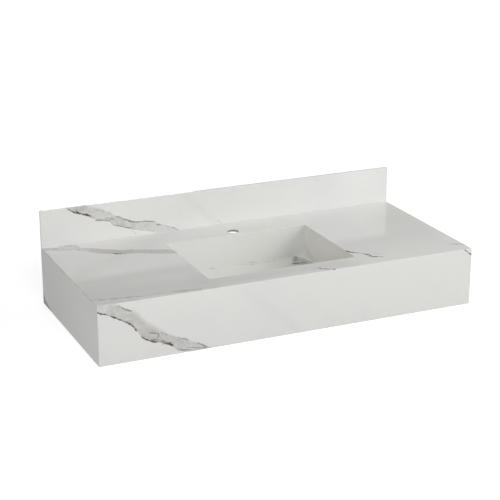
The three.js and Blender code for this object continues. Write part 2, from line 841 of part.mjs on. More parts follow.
function basin() {
  const group = new THREE.Group();
  for (const [side, place] of Object.entries(basinSides)) {
    const fitsBetween = side === 'left' || side === 'right';
    const wall = piece(`basin_wall_${side}`, basinWall(place), 'polishedStone');
    wall.position.set(place.x, place.y, topZ);
    const panel = piece(`floor_panel_${side}`, floorPanel(place), 'polishedStone');
    const batten = piece(`floor_batten_${side}`, floorBatten(place, fitsBetween), 'sawnStone');
    for (const atFoot of [panel, batten]) atFoot.position.set(place.x, place.y, floorFootZ);
    for (const mesh of [wall, panel, batten]) mesh.rotation.z = place.turn;
    group.add(wall, panel, batten);
  }
  const plate = piece('drain_plate', drainPlate(), 'polishedStone');
  plate.position.set(0, basinCentreY, drainZ);
  group.add(plate);
  return group;
}

function stiffeners() {
  const group = new THREE.Group();
  group.add(piece('front_backing_strip', frontStrip(), 'sawnStone'));
  for (const [end, side] of [['left', -1], ['right', 1]]) {
    group.add(
      piece(`${end}_backing_strip`, sideStrip(side), 'sawnStone'),
      piece(`${end}_rear_rail`, rearRail(side), 'sawnStone'),
      piece(`${end}_deck_rib`, deckRib(side), 'sawnStone'),
    );
  }
  return group;
}

// The block, bracket and screws of one end. The left-hand set is the right-hand one turned over
// about Y, which keeps the wall side of the bracket to the wall.
function endFixings(end, side) {
  const group = new THREE.Group();
  group.add(
    piece(`${end}_bracket_block`, bracketBlock(), 'sawnStone'),
    piece(`${end}_wall_bracket`, wallBracket(), 'stainless'),
  );
  screwZs.forEach((z, i) => {
    const level = (i === 0) === (side === 1) ? 'upper' : 'lower';
    const screw = piece(`${end}_bracket_screw_${level}`, bracketScrew(), 'zincPlate');
    screw.position.set(0, screwY, z);
    group.add(screw);
  });
  const middleZ = deckUnderZ - bracketTopClearance - bracketHeight / 2;
  group.position.set(side * apronInnerX, wallY, middleZ);
  if (side < 0) group.rotation.y = Math.PI;
  return group;
}

function waste() {
  const group = new THREE.Group();
  group.add(
    piece('waste_body', wasteBody(), 'chrome'),
    piece('flange_gasket', flangeGasket(), 'rubber'),
    piece('cone_washer', coneWasher(), 'rubber'),
    piece('slip_ring', slipRing(), 'nylon'),
    piece('back_nut', backNut(), 'brass'),
    piece('push_cartridge', cartridge(), 'acetal'),
    piece('cartridge_spring', spring(), 'springSteel'),
    piece('plug_stem', stem(), 'brass'),
    piece('plug_cap', plugCap(), 'chrome'),
    piece('plug_seal', plugSeal(), 'rubber'),
  );
  group.position.set(0, basinCentreY, drainZ);
  return group;
}

const sinkTop = new THREE.Group();
sinkTop.add(slabs(), basin(), stiffeners(), endFixings('left', -1), endFixings('right', 1), waste());

export default sinkTop;
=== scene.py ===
import math
from functools import reduce

import bmesh
import bpy
from mathutils import Matrix, Vector

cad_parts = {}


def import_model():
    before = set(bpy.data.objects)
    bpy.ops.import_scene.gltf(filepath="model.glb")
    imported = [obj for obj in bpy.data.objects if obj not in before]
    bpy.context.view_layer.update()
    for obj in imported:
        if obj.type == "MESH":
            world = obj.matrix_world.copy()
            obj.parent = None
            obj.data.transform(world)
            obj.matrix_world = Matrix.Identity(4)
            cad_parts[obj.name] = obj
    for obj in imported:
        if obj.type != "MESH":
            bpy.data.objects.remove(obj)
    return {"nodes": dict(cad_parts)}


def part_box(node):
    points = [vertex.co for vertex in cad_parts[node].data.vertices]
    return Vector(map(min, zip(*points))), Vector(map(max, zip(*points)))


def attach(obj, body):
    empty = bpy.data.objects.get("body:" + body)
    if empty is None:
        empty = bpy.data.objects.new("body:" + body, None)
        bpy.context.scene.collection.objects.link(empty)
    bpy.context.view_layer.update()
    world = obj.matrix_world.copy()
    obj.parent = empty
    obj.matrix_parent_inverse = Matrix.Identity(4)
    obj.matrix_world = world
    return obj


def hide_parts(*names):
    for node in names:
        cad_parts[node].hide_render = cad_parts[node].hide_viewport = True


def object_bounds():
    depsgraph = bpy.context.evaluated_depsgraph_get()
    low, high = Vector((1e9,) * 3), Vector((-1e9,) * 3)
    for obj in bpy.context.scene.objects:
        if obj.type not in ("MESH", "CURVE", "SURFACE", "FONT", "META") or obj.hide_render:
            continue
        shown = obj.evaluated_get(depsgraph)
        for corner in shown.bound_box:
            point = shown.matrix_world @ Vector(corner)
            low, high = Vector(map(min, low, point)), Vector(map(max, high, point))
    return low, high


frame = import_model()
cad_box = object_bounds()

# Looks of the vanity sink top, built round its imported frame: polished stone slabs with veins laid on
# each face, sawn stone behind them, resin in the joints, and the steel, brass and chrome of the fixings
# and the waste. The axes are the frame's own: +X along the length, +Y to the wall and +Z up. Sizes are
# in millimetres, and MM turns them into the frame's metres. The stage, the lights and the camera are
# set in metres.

MM = 0.001
X = Vector((1, 0, 0))
Y = Vector((0, 1, 0))
Z = Vector((0, 0, 1))
BODY = "sink_top"
PLUG = "plug"
ENDS = (("left", X), ("right", -X))
SLAB = 6


def placed(name, data):
    """A new object in the scene."""
    made = bpy.data.objects.new(name, data)
    bpy.context.scene.collection.objects.link(made)
    return made


def top_middle(node):
    low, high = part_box(node)
    return Vector(((low.x + high.x) / 2, (low.y + high.y) / 2, high.z))


DRAIN = top_middle("drain_plate")


# Node trees

class Graph:
    """One node tree. Each call gives back an output, or a node that stands for its first output."""

    def __init__(self, tree):
        self.tree = tree
        tree.nodes.clear()

    def feed(self, socket, value):
        if isinstance(value, bpy.types.Node):
            value = value.outputs[0]
        if isinstance(value, bpy.types.NodeSocket):
            self.tree.links.new(value, socket)
        elif socket.type == "RGBA" and len(value) == 3:
            socket.default_value = (*value, 1)
        else:
            socket.default_value = value

    def node(self, kind, *values, **named):
        """A new node. The values feed its inputs in order. A name is an input's or a setting's."""
        made = self.tree.nodes.new("ShaderNode" + kind)
        for name, value in named.items():
            if name in made.inputs:
                self.feed(made.inputs[name], value)
            else:
                setattr(made, name, value)
        for socket, value in zip(made.inputs, values):
            self.feed(socket, value)
        return made

    def math(self, operation, *values, clamp=False):
        return self.node("Math", *values, operation=operation, use_clamp=clamp)

    def times(self, *values):
        return reduce(lambda first, second: self.math("MULTIPLY", first, second), values)

    def most(self, *values):
        return reduce(lambda first, second: self.math("MAXIMUM", first, second), values)

    def map(self, value, low, high, to_low=0.0, to_high=1.0, kind="SMOOTHSTEP"):
        return self.node("MapRange", value, low, high, to_low, to_high, interpolation_type=kind)

    def vector(self, operation, *values):
        made = self.node("VectorMath", *values, operation=operation)
        return made.outputs["Value" if operation in ("DOT_PRODUCT", "LENGTH") else "Vector"]

    def split(self, vector):
        return dict(zip("xyz", self.node("SeparateXYZ", vector).outputs))

    def mix(self, share, first, second):
        made = self.node("Mix", data_type="RGBA")
        sockets = {socket.identifier: socket for socket in (*made.inputs, *made.outputs)}
        for name, value in (("Factor_Float", share), ("A_Color", first), ("B_Color", second)):
            self.feed(sockets[name], value)
        return sockets["Result_Color"]

    def seen(self):
        """1 for what is seen, also in a mirror or through glass, and 0 for the light that it gives."""
        rays = self.node("LightPath").outputs
        return self.most(rays["Is Camera Ray"], rays["Is Glossy Ray"], rays["Is Transmission Ray"])


class Finish(Graph):
    """A material with one principled shader. place is where the surface is, in the frame's axes."""

    def __init__(self, name, **constants):
        self.material = bpy.data.materials.new(name)
        self.material.use_nodes = True
        super().__init__(self.material.node_tree)
        constants = {key.replace("_", " "): value for key, value in constants.items()}
        self.shader = self.node("BsdfPrincipled", **constants)
        self.node("OutputMaterial", self.shader)
        self.place = self.node("TexCoord").outputs["Object"]

    def set(self, socket, value):
        self.feed(self.shader.inputs[socket], value)

    def noise(self, grain, detail=3.0, roughness=0.5, place=None):
        """Noise at the surface or another place, its largest features about as wide as grain."""
        place = self.place if place is None else place
        return self.node("TexNoise", place, Scale=1 / (grain * MM), Detail=detail, Roughness=roughness)

    def patches(self, grain, detail, roughness, low, high, to_low=0.0, to_high=1.0):
        """Noise at the surface, spread from to_low, where it is under low, to to_high."""
        return self.map(self.noise(grain, detail, roughness), low, high, to_low, to_high)

    def stretched(self, *scales):
        """The surface's place with each axis scaled. Noise read there is drawn out where a scale is low."""
        return self.vector("MULTIPLY", self.place, scales)

    def off_axis(self, centre):
        """How far the surface is from the upright line through centre."""
        out = self.vector("SUBTRACT", self.place, centre)
        return self.vector("LENGTH", self.vector("MULTIPLY", out, X + Y))

    def done(self, height, strength, depth):
        """The material, with a relief that is depth deep from a height of 0 to 1."""
        self.set("Normal", self.node("Bump", Height=height, Strength=strength, Distance=depth * MM))
        return self.material


# Polished stone

STONE_COOL = (0.715, 0.719, 0.706)
STONE_WARM = (0.735, 0.733, 0.708)
# The colour of haze in the stone, and of the painted shade that some faces carry.
HAZE_AND_SHADE = (0.600, 0.600, 0.585)
FILL_LIGHT = (0.600, 0.602, 0.590)
FILL_DARK = (0.470, 0.458, 0.430)
VEIN_DARK = (0.075, 0.070, 0.062)
BASIN_TINT = (1.005, 1.005, 0.985)
# Painted shade inside the tap hole's bore.
BORE_SHADE = (0.350, 0.345, 0.325)
NET_BACK = (0.600, 0.585, 0.550)
NET_THREAD = (0.700, 0.690, 0.660)

POLISH_ROUGHNESS = 0.11
VEIN_ROUGHNESS = 0.2
BACK_ROUGHNESS = 0.62

CLOUD_GRAIN = 210
HAZE_GRAIN = 90
SMEAR_GRAIN = 60
WAVE_GRAIN = 45
BLOTCH_GRAIN = 19
UNEVEN_GRAIN = 16
BREAK_GRAIN = 11
DENSE_GRAIN = 10
FINE_GRAIN = 7
SWAY_GRAIN = 34
SWAY = 7
FRAY_GRAIN = 6
FRAY = 4.5
NET_PITCH = 5
LINE_CORE = 0.35
LINE_FADE = 3
BAND_FADE = 4


class Stone(Finish):
    """A polished slab. u and v are places over its face, warped a little so that what is drawn on
    it has ragged edges. rear is the direction out of its back, which is left unpolished and carries
    a glass net in resin."""

    def __init__(self, name, across, up, rear, tint_and_painted_light=(1, 1, 1)):
        super().__init__(name, IOR=1.45)
        self.rear = rear
        self.tint_and_painted_light = tint_and_painted_light
        self.tap_bore = 0.0
        sway = self.shift(SWAY_GRAIN, 2.0, 0.5, SWAY)
        fray = self.shift(FRAY_GRAIN, 4.0, 0.6, FRAY)
        axes = self.split(self.vector("ADD", self.place, self.vector("ADD", sway, fray)))
        self.u, self.v = axes[across], axes[up]
        self.uneven = self.patches(UNEVEN_GRAIN, 3.0, 0.6, 0.32, 0.68, 0.35, 1.65)
        self.broken = self.patches(BREAK_GRAIN, 2.0, 0.6, 0.34, 0.56, 0.4, 1.0)
        self.fills, self.shades, self.lines, self.hazes_and_shade = [], [], [], []

    def shift(self, grain, detail, roughness, reach):
        """A push to any side, up to about half of reach."""
        push = self.noise(grain, detail, roughness).outputs["Color"]
        push = self.vector("SUBTRACT", push, (0.5, 0.5, 0.5))
        return self.vector("MULTIPLY", push, [reach * MM] * 3)

    def path(self, along, points, unit=MM):
        """The value of a smooth curve through points, in units, at the place along it."""
        starts, values = zip(*((start * MM, value * unit) for start, value in points))
        low, high = min(values), max(values)
        if low == high:
            return low
        made = self.node("FloatCurve", Value=self.map(along, starts[0], starts[-1], kind="LINEAR"))
        line = made.mapping.curves[0]
        levels = [(value - low) / (high - low) for value in values]
        for start, level in list(zip(starts, levels))[1:-1]:
            line.points.new((start - starts[0]) / (starts[-1] - starts[0]), level)
        for end in (0, -1):
            line.points[end].location[1] = levels[end]
        made.mapping.update()
        return self.map(made, 0.0, 1.0, low, high, kind="LINEAR")

    def between(self, along, points, fade):
        """1 from the first of the points to the last, and 0 beyond them."""
        start, end = points[0][0], points[-1][0]
        return self.times(self.map(along, (start - fade) * MM, (start + fade) * MM),
                          self.map(along, (end + fade) * MM, (end - fade) * MM))

    def track(self, points, along, fade):
        """How far the surface is from the path through points, and where the path fades out."""
        first, second = (self.u, self.v) if along == "u" else (self.v, self.u)
        gap = self.math("ABSOLUTE", self.math("SUBTRACT", second, self.path(first, points)))
        return gap, self.between(first, points, fade)

    def line(self, points, width, strength=1.0, along="u"):
        """A dark line through the points, which run over u, or over v if along says so. Most are thin veins.
        """
        gap, ends = self.track(points, along, LINE_FADE)
        near = self.map(self.math("DIVIDE", gap, self.times(self.uneven, width * MM)), 1.0, LINE_CORE)
        self.lines.append(self.times(near, ends, strength))

    def haze(self, points, width, strength):
        """A wide, soft and faint band. Most are haze in the stone; some are painted shade."""
        gap, ends = self.track(points, "u", width)
        self.hazes_and_shade.append(self.times(self.map(gap, width * MM, 0.0), ends, strength))

    def band(self, lower, upper, soft, shade):
        """The filled part of a vein between two edges, the lower one sharp and the upper one as deep
        as soft says. shade runs from 0, light, to 1, dark. All four are given over u."""
        over = self.math("SUBTRACT", self.v, self.path(self.u, lower))
        under = self.math("SUBTRACT", self.path(self.u, upper), self.v)
        foot = self.map(over, -0.4 * MM, 0.8 * MM)
        head = self.map(self.math("DIVIDE", under, self.path(self.u, soft)), -0.4, 0.8)
        ends = self.between(self.u, lower, BAND_FADE)
        self.fills.append(self.times(foot, head, ends))
        blotch = self.patches(BLOTCH_GRAIN, 5.0, 0.7, 0.32, 0.68, -0.65, 0.65)
        dark = self.math("ADD", self.path(self.u, shade, unit=1), blotch, clamp=True)
        self.shades.append(self.times(dark, ends))

    def finish(self):
        # The tint is the slab's own tone, except on two walls of the basin where it is painted light and
        # shade: lighter on the right wall, darker on the back wall.
        tones = [[a * b for a, b in zip(tone, self.tint_and_painted_light)] for tone in (STONE_COOL, STONE_WARM)]
        colour = self.mix(self.patches(CLOUD_GRAIN, 3.0, 0.45, 0.36, 0.64), *tones)
        drift = self.patches(HAZE_GRAIN, 5.0, 0.55, 0.54, 0.8, 0.0, 0.16)
        # Haze in the stone, and bands of painted shade on some faces, darken the colour.
        colour = self.mix(self.most(drift, *self.hazes_and_shade), colour, HAZE_AND_SHADE)
        dense = self.patches(DENSE_GRAIN, 4.0, 0.65, 0.3, 0.7, 0.75, 1.0)
        fill = self.times(self.most(0.0, *self.fills), dense)
        colour = self.mix(fill, colour, self.mix(self.most(0.0, *self.shades), FILL_LIGHT, FILL_DARK))
        line = self.times(self.most(0.0, *self.lines), self.broken)
        colour = self.mix(line, colour, VEIN_DARK)
        grit = self.patches(FINE_GRAIN, 6.0, 0.7, 0.3, 0.7, 0.99, 1.01)
        colour = self.vector("MULTIPLY", colour, self.node("CombineXYZ", grit, grit, grit))

        normal = self.node("NewGeometry").outputs["True Normal"]
        back = self.map(self.vector("DOT_PRODUCT", normal, self.rear), 0.4, 0.6)
        axes = self.split(self.place)
        net = self.most(*(self.thread(axes[a]) for a in "xyz" if not self.rear["xyz".index(a)]))
        net_colour = self.mix(self.times(net, 0.35), NET_BACK, NET_THREAD)
        # Inside the tap hole's bore the colour is painted shade.
        self.set("Base Color", self.mix(back, self.mix(self.tap_bore, colour, BORE_SHADE), net_colour))

        smear = self.patches(SMEAR_GRAIN, 4.0, 0.6, 0.3, 0.7, -0.015, 0.025)
        gloss = self.math("ADD", smear, POLISH_ROUGHNESS)
        gloss = self.map(self.most(line, self.times(fill, 0.6)), 0.0, 1.0, gloss, VEIN_ROUGHNESS)
        self.set("Roughness", self.map(self.most(back, self.tap_bore), 0.0, 1.0, gloss, BACK_ROUGHNESS))
        waves = self.times(self.noise(WAVE_GRAIN, 2.0), 0.05)
        return self.done(self.math("ADD", waves, self.times(net, back)), 0.5, 0.25)

    def thread(self, along):
        """Threads of the glass net across one axis. A metre is added so that no place is negative."""
        wave = self.math("PINGPONG", self.math("ADD", along, 1.0), NET_PITCH / 2 * MM)
        return self.map(wave, 0.9 * MM, 0.25 * MM)


TAP_HOLE = Vector((0, 150, 0))
TAP_HOLE_RADIUS = 15
TAP_HOLE_EASE = 0.3


def deck_stone():
    stone = Stone("stone_deck", "x", "y", -Z)
    # The bore of the tap hole is left rough and coloured with painted shade.
    edge = (TAP_HOLE_RADIUS + TAP_HOLE_EASE) * MM
    stone.tap_bore = stone.map(stone.off_axis(TAP_HOLE * MM), edge, TAP_HOLE_RADIUS * MM)
    lower = [
        (-425, 172), (-410, 157), (-400, 146), (-379, 126), (-358, 113), (-340, 104), (-321, 96),
        (-292, 87), (-267, 75), (-233, 58), (-200, 44), (-185, 38),
    ]
    upper = [
        (-425, 186), (-408, 183), (-387, 175), (-367, 161), (-350, 149), (-327, 135), (-317, 126),
        (-304, 125), (-283, 116), (-250, 102), (-217, 88), (-198, 78), (-185, 70),
    ]
    shade = [(-425, 0.3), (-400, 0.5), (-360, 1.3), (-330, 1.3), (-312, 1.1), (-280, 1.0), (-185, 0.9)]
    stone.band(lower, upper, [(-425, 12), (-350, 8), (-185, 10)], shade)
    stone.line([(-498, 217), (-479, 210), (-460, 202)], 4.5, 0.45)
    stone.line([(-444, 214), (-432, 209), (-418, 201), (-408, 192)], 4.5, 0.3)
    corner_lower = [(-505, 200), (-485, 193), (-465, 183), (-445, 177), (-425, 175), (-408, 182)]
    corner_upper = [(-505, 221), (-480, 213), (-463, 212), (-453, 226), (-430, 226), (-408, 200)]
    stone.band(corner_lower, corner_upper, [(-505, 6), (-408, 10)], [(-505, -0.3), (-460, 0.1), (-408, 0.0)])
    stone.line([(-424, 178), (-419, 172), (-413, 166)], 3.0, 0.5)
    stone.line([(-351, 110), (-336, 104), (-319, 97)], 6.0, 0.8)
    stone.line([(-502, -180), (-478, -186), (-452, -191)], 7, 0.3)
    stone.line([(-452, -191), (-425, -195), (-405, -199), (-380, -204)], 8, 0.3)
    stone.line([(-480, -212), (-440, -215), (-395, -219)], 6, 0.15)
    stone.line([(-380, -200), (-340, -204), (-312, -209)], 6, 0.15)
    stone.line([(-308, -205), (-275, -210), (-236, -214)], 8, 0.3)
    stone.line([(-236, -210), (-200, -217)], 6, 0.15)
    stone.line([(-174, 237), (-162, 234), (-142, 223), (-126, 204), (-110, 195)], 4.6, 1.4, "v")
    stone.line([(231, -170), (240, -178), (250, -183), (263, -187)], 3.6, 1.2)
    stone.line([(242, -153), (252, -158), (265, -168)], 2.4, 0.4)
    stone.line([(76, -200), (92, -212), (112, -225)], 4.5, 1.0)
    stone.line([(462, -170), (478, -178), (490, -187), (502, -197)], 3.0, 0.6)
    stone.haze([(-620, -165), (-380, -168), (-230, -175), (-120, -185)], 115, 0.8)
    stone.haze([(-300, 160), (-180, 190), (-60, 205)], 40, 0.2)
    stone.haze([(-230, -196), (-20, -190), (180, -200)], 46, 0.65)
    return stone.finish()


def front_apron_stone():
    stone = Stone("stone_front_apron", "x", "z", Y)
    lower = [
        (-505, 138), (-481, 127), (-459, 117), (-438, 106), (-425, 99), (-417, 90), (-409, 81),
        (-401, 68), (-393, 57), (-375, 44), (-360, 38), (-337, 31), (-319, 21), (-300, 7),
        (-281, 3), (-265, -2), (-240, -10), (-205, -16),
    ]
    upper = [
        (-505, 175), (-465, 155), (-450, 147), (-435, 139), (-420, 131), (-405, 122), (-390, 106),
        (-375, 91), (-360, 80), (-345, 68), (-330, 57), (-315, 48), (-300, 41), (-285, 35),
        (-270, 28), (-255, 21), (-240, 14), (-225, 4), (-205, -8),
    ]
    soft = [(-505, 8), (-435, 6), (-405, 20), (-365, 18), (-330, 8), (-300, 3), (-205, 3)]
    shade = [
        (-505, 0.35), (-465, 0.45), (-435, 0.8), (-420, 0.6), (-390, 1.1), (-350, 0.95), (-330, 0.6),
        (-305, 1.0), (-285, 0.5), (-255, 0.35), (-205, 0.4),
    ]
    stone.band(lower, upper, soft, shade)
    stone.line(lower[:5], 2.2, 1.2)
    stone.line([(-428, 101), (-421, 95), (-415, 88), (-406, 78)], 4.4, 1.6)
    stone.line([(-396, 60), (-384, 51), (-375, 45), (-362, 40), (-349, 36), (-333, 30), (-318, 22)], 2.6, 1.0)
    stone.line([(-371, 46), (-362, 45), (-352, 40)], 2.0, 0.8)
    stone.line([(-347, 37), (-332, 31), (-317, 24)], 5.0, 1.4)
    stone.line([(-306, 12), (-298, 8), (-281, 6), (-268, 3)], 2.0, 0.7)
    stone.line([(-284, 13), (-266, 9), (-250, 6), (-232, 2)], 1.6, 0.45)
    stone.line([(-450, 142), (-438, 136), (-428, 131), (-417, 127)], 1.9, 0.8)
    stone.line([(-374, 65), (-363, 63), (-352, 59)], 2.4, 0.6)
    stone.line([(-346, 60), (-336, 55), (-326, 50)], 3.0, 0.45)
    stone.line([(48, -357), (53, -353), (60, -351)], 2.0, 0.7, "v")
    stone.line([(-303, 41), (-290, 36), (-277, 30)], 2.2, 0.6)
    stone.line([(-256, 20), (-249, 16), (-240, 10), (-224, 2)], 2.2, 0.7)
    stone.line([(476, 152), (488, 142), (502, 133)], 2.8, 0.95)
    stone.haze([(-141, 132), (-70, 78), (25, -2)], 30, 0.18)
    return stone.finish()


def backsplash_stone():
    stone = Stone("stone_backsplash", "x", "z", Y)
    lower = [
        (-440, 258), (-430, 250), (-420, 238), (-405, 231), (-390, 225), (-375, 218), (-360, 211),
        (-345, 202), (-330, 200), (-315, 197), (-300, 184), (-285, 180), (-270, 174), (-255, 168),
        (-240, 165), (-225, 161), (-210, 157), (-195, 153), (-180, 149), (-115, 138),
    ]
    upper = [
        (-440, 272), (-375, 253), (-366, 245), (-345, 239), (-330, 231), (-315, 224), (-300, 214),
        (-285, 205), (-270, 199), (-255, 193), (-240, 189), (-225, 189), (-210, 185), (-195, 181),
        (-180, 174), (-165, 168), (-150, 163), (-135, 158), (-115, 148),
    ]
    shade = [
        (-440, 0.7), (-400, 0.95), (-375, 0.4), (-345, 0.4), (-315, 0.15), (-290, 0.3),
        (-240, 0.3), (-205, -0.1), (-115, -0.5),
    ]
    stone.band(lower, upper, [(-440, 8), (-375, 8), (-345, 5), (-300, 3), (-115, 3)], shade)
    stone.line([(-432, 252), (-421, 242), (-411, 236), (-397, 231)], 2.6, 0.9)
    stone.line([(-404, 235), (-390, 229), (-380, 226), (-367, 219)], 5.0, 1.4)
    stone.line([(-354, 205), (-342, 204), (-330, 203), (-316, 201)], 2.0, 0.6)
    stone.line([(-325, 208), (-314, 206), (-303, 203)], 2.4, 0.4)
    stone.line([(-316, 200), (-304, 188), (-288, 182), (-276, 178), (-260, 172)], 2.2, 0.7)
    stone.line([(-259, 168), (-253, 162), (-247, 156)], 1.8, 0.45)
    stone.line([(-238, 166), (-219, 160), (-196, 155)], 1.5, 0.4)
    stone.line([(-353, 235), (-342, 231), (-330, 227)], 1.8, 0.5)
    stone.line([(-300, 212), (-290, 207), (-276, 199), (-258, 190)], 2.4, 0.7)
    stone.line([(-262, 191), (-250, 189), (-235, 187), (-212, 185), (-192, 181)], 2.2, 0.75)
    stone.line([(-189, 172), (-173, 170), (-158, 165), (-142, 158), (-124, 150)], 2.0, 0.6)
    stone.haze([(-118, 252), (-70, 205), (-22, 160), (-5, 145)], 26, 0.22)
    stone.line([(-16, 162), (-8, 157), (-1, 149)], 3.0, 0.2)
    return stone.finish()


def left_apron_stone():
    stone = Stone("stone_left_apron", "y", "z", X)
    stone.haze([(-230, 132), (-120, 118), (0, 70), (120, 20)], 30, 0.15)
    # Painted shade that darkens the back part of this side.
    stone.haze([(60, 90), (200, 75), (600, 75)], 260, 1.0)
    # A wide, even dark patch over the bottom back corner of this side.
    stone.uneven = 1.0
    stone.line([(160, -18), (185, -11), (206, -3), (228, 15)], 28, 1.8)
    return stone.finish()


def right_apron_stone():
    stone = Stone("stone_right_apron", "y", "z", -X)
    stone.line([(-230, 133), (-205, 120), (-170, 112), (-150, 96)], 2.2, 0.7)
    stone.haze([(-230, 120), (-80, 90), (60, 60), (230, 20)], 36, 0.25)
    return stone.finish()


def basin_back_stone():
    # Painted shade: this wall is tinted darker, and a haze darkens it more low down towards the right-hand
    # corner.
    stone = Stone("stone_basin_back", "x", "z", Y, (0.95, 0.955, 0.95))
    stone.haze([(60, 52), (150, 66), (205, 90)], 30, 0.4)
    # Faint dark lines along the foot of the wall, where it meets the floor.
    stone.line([(-76, 66), (-64, 63), (-52, 61)], 1.6, 0.5)
    stone.line([(36, 66), (75, 62), (118, 60)], 1.4, 0.35)
    return stone.finish()


def basin_right_stone():
    # Painted light: this wall is tinted lighter. The haze low down towards the back corner is painted shade.
    stone = Stone("stone_basin_right", "y", "z", X, (1.06, 1.045, 1.02))
    stone.haze([(60, 60), (95, 74), (130, 96)], 26, 0.45)
    return stone.finish()


def basin_floor_right_stone():
    stone = Stone("stone_floor_right", "y", "x", -Z, BASIN_TINT)
    # The dark patch in the back right corner is a vein with painted corner shade in it.
    lower = [(48, 172), (62, 150), (72, 139), (84, 143), (100, 156), (116, 166)]
    upper = [(48, 190), (62, 194), (72, 192), (84, 189), (100, 185), (116, 180)]
    stone.band(lower, upper, [(48, 5), (116, 8)], [(48, 1.2), (116, 1.0)])
    stone.line([(136, 79), (154, 74), (176, 67)], 8, 0.7, "v")
    stone.line([(94, 154), (104, 162), (116, 172)], 7, 0.7)
    return stone.finish()


def basin_floor_back_stone():
    stone = Stone("stone_floor_back", "x", "y", -Z, BASIN_TINT)
    # The dark patch in the back right corner is a vein with painted corner shade in it.
    lower = [(144, 84), (184, 92)]
    upper = [(144, 95), (153, 108), (164, 122), (174, 117), (184, 112)]
    stone.band(lower, upper, [(144, 5), (184, 8)], [(144, 1.0), (184, 1.2)])
    stone.line([(154, 98), (163, 108), (172, 116)], 9, 0.7)
    # A faint dark line along the foot of the back wall.
    stone.line([(20, 118), (62, 114), (110, 117)], 2.6, 0.3)
    return stone.finish()


def plain_stone(name, across, up, rear):
    return Stone(name, across, up, rear, BASIN_TINT).finish()


# Other finishes

def sawn_stone():
    """Strips cut from the same stone and left unpolished, with the marks of the saw."""
    finish = Finish("sawn_stone", IOR=1.5)
    cloud = finish.patches(40, 5.0, 0.6, 0.32, 0.68)
    colour = finish.mix(cloud, (0.60, 0.59, 0.56), (0.72, 0.71, 0.68))
    vein = finish.patches(75, 6.0, 0.7, 0.62, 0.72, 0.0, 0.6)
    colour = finish.mix(vein, colour, (0.36, 0.35, 0.33))
    dust = finish.noise(1.5, 3.0, 0.7)
    colour = finish.mix(finish.map(dust, 0.45, 0.7, 0.0, 0.35), colour, (0.80, 0.79, 0.77))
    finish.set("Base Color", colour)
    marks = finish.noise(2.2, 2.0, 0.5, finish.stretched(0.12, 0.12, 1.0))
    finish.set("Roughness", finish.map(marks, 0.3, 0.7, 0.72, 0.9))
    return finish.done(finish.math("ADD", marks, finish.times(dust, 0.4)), 0.6, 0.3)


def brushed_steel():
    """Plate brushed along its height, bent after brushing."""
    finish = Finish("brushed_steel", Metallic=1.0, Anisotropic=0.3)
    grain = finish.noise(0.35, 2.0, 0.5, finish.stretched(1.0, 1.0, 0.05))
    cloud = finish.patches(30, 4.0, 0.6, 0.3, 0.7)
    tone = finish.mix(cloud, (0.42, 0.425, 0.435), (0.48, 0.485, 0.49))
    finish.set("Base Color", finish.mix(finish.map(grain, 0.3, 0.7, 0.0, 0.6), tone, (0.60, 0.60, 0.60)))
    finish.set("Roughness", finish.map(grain, 0.3, 0.7, 0.32, 0.46))
    return finish.done(grain, 0.2, 0.03)


def zinc_plate():
    """Bright plating with a faint yellow and blue sheen and small dull spots."""
    finish = Finish("zinc_plate", Metallic=1.0)
    sheen = finish.patches(6, 3.0, 0.5, 0.35, 0.65)
    colour = finish.mix(sheen, (0.60, 0.64, 0.68), (0.70, 0.68, 0.61))
    spots = finish.patches(1.2, 4.0, 0.7, 0.55, 0.72, 0.0, 0.5)
    finish.set("Base Color", finish.mix(spots, colour, (0.50, 0.50, 0.49)))
    finish.set("Roughness", finish.map(spots, 0.0, 0.5, 0.24, 0.5))
    return finish.done(spots, 0.2, 0.04)


def chrome():
    """Mirror chrome with a faint haze of water marks."""
    finish = Finish("chrome", Metallic=1.0)
    haze = finish.patches(14, 5.0, 0.6, 0.45, 0.75)
    drops = finish.patches(4, 2.0, 0.4, 0.62, 0.70, 0.0, 0.6)
    marks = finish.most(finish.times(haze, 0.5), drops)
    finish.set("Base Color", finish.mix(marks, (0.82, 0.83, 0.84), (0.74, 0.75, 0.75)))
    finish.set("Roughness", finish.map(marks, 0.0, 0.6, 0.04, 0.13))
    return finish.done(finish.noise(9, 2.0), 0.03, 0.05)


def turned_brass():
    """Bare brass with the fine rings that a lathe leaves, dulled in places."""
    finish = Finish("turned_brass", Metallic=1.0)
    height = finish.split(finish.place)["z"]
    rings = finish.noise(0.5, 2.0, 0.6, finish.node("CombineXYZ", finish.off_axis(DRAIN), height))
    dull = finish.patches(12, 5.0, 0.65, 0.42, 0.68)
    colour = finish.mix(dull, (0.70, 0.50, 0.20), (0.42, 0.29, 0.13))
    finish.set("Base Color", finish.mix(finish.map(rings, 0.3, 0.7, 0.0, 0.3), colour, (0.82, 0.64, 0.34)))
    finish.set("Roughness", finish.map(dull, 0.0, 1.0, 0.2, 0.42))
    return finish.done(rings, 0.3, 0.05)


def rubber():
    """Black rubber with a bloom of dust."""
    finish = Finish("rubber", Specular_IOR_Level=0.35)
    bloom = finish.patches(8, 6.0, 0.7, 0.42, 0.72)
    finish.set("Base Color", finish.mix(bloom, (0.018, 0.018, 0.019), (0.060, 0.058, 0.055)))
    finish.set("Roughness", finish.map(bloom, 0.0, 1.0, 0.5, 0.8))
    return finish.done(finish.noise(0.6, 3.0, 0.6), 0.25, 0.05)


def moulded(name, light, dark, roughness):
    """Moulded plastic with a fine spark texture and faint flow marks."""
    finish = Finish(name, IOR=1.48, Subsurface_Weight=0.08, Subsurface_Scale=1.5 * MM)
    flow = finish.noise(9, 4.0, 0.6, finish.stretched(1.0, 1.0, 0.25))
    finish.set("Base Color", finish.mix(finish.map(flow, 0.35, 0.65), light, dark))
    spark = finish.noise(0.5, 3.0, 0.6)
    finish.set("Roughness", finish.map(spark, 0.3, 0.7, roughness - 0.06, roughness + 0.1))
    return finish.done(spark, 0.2, 0.04)


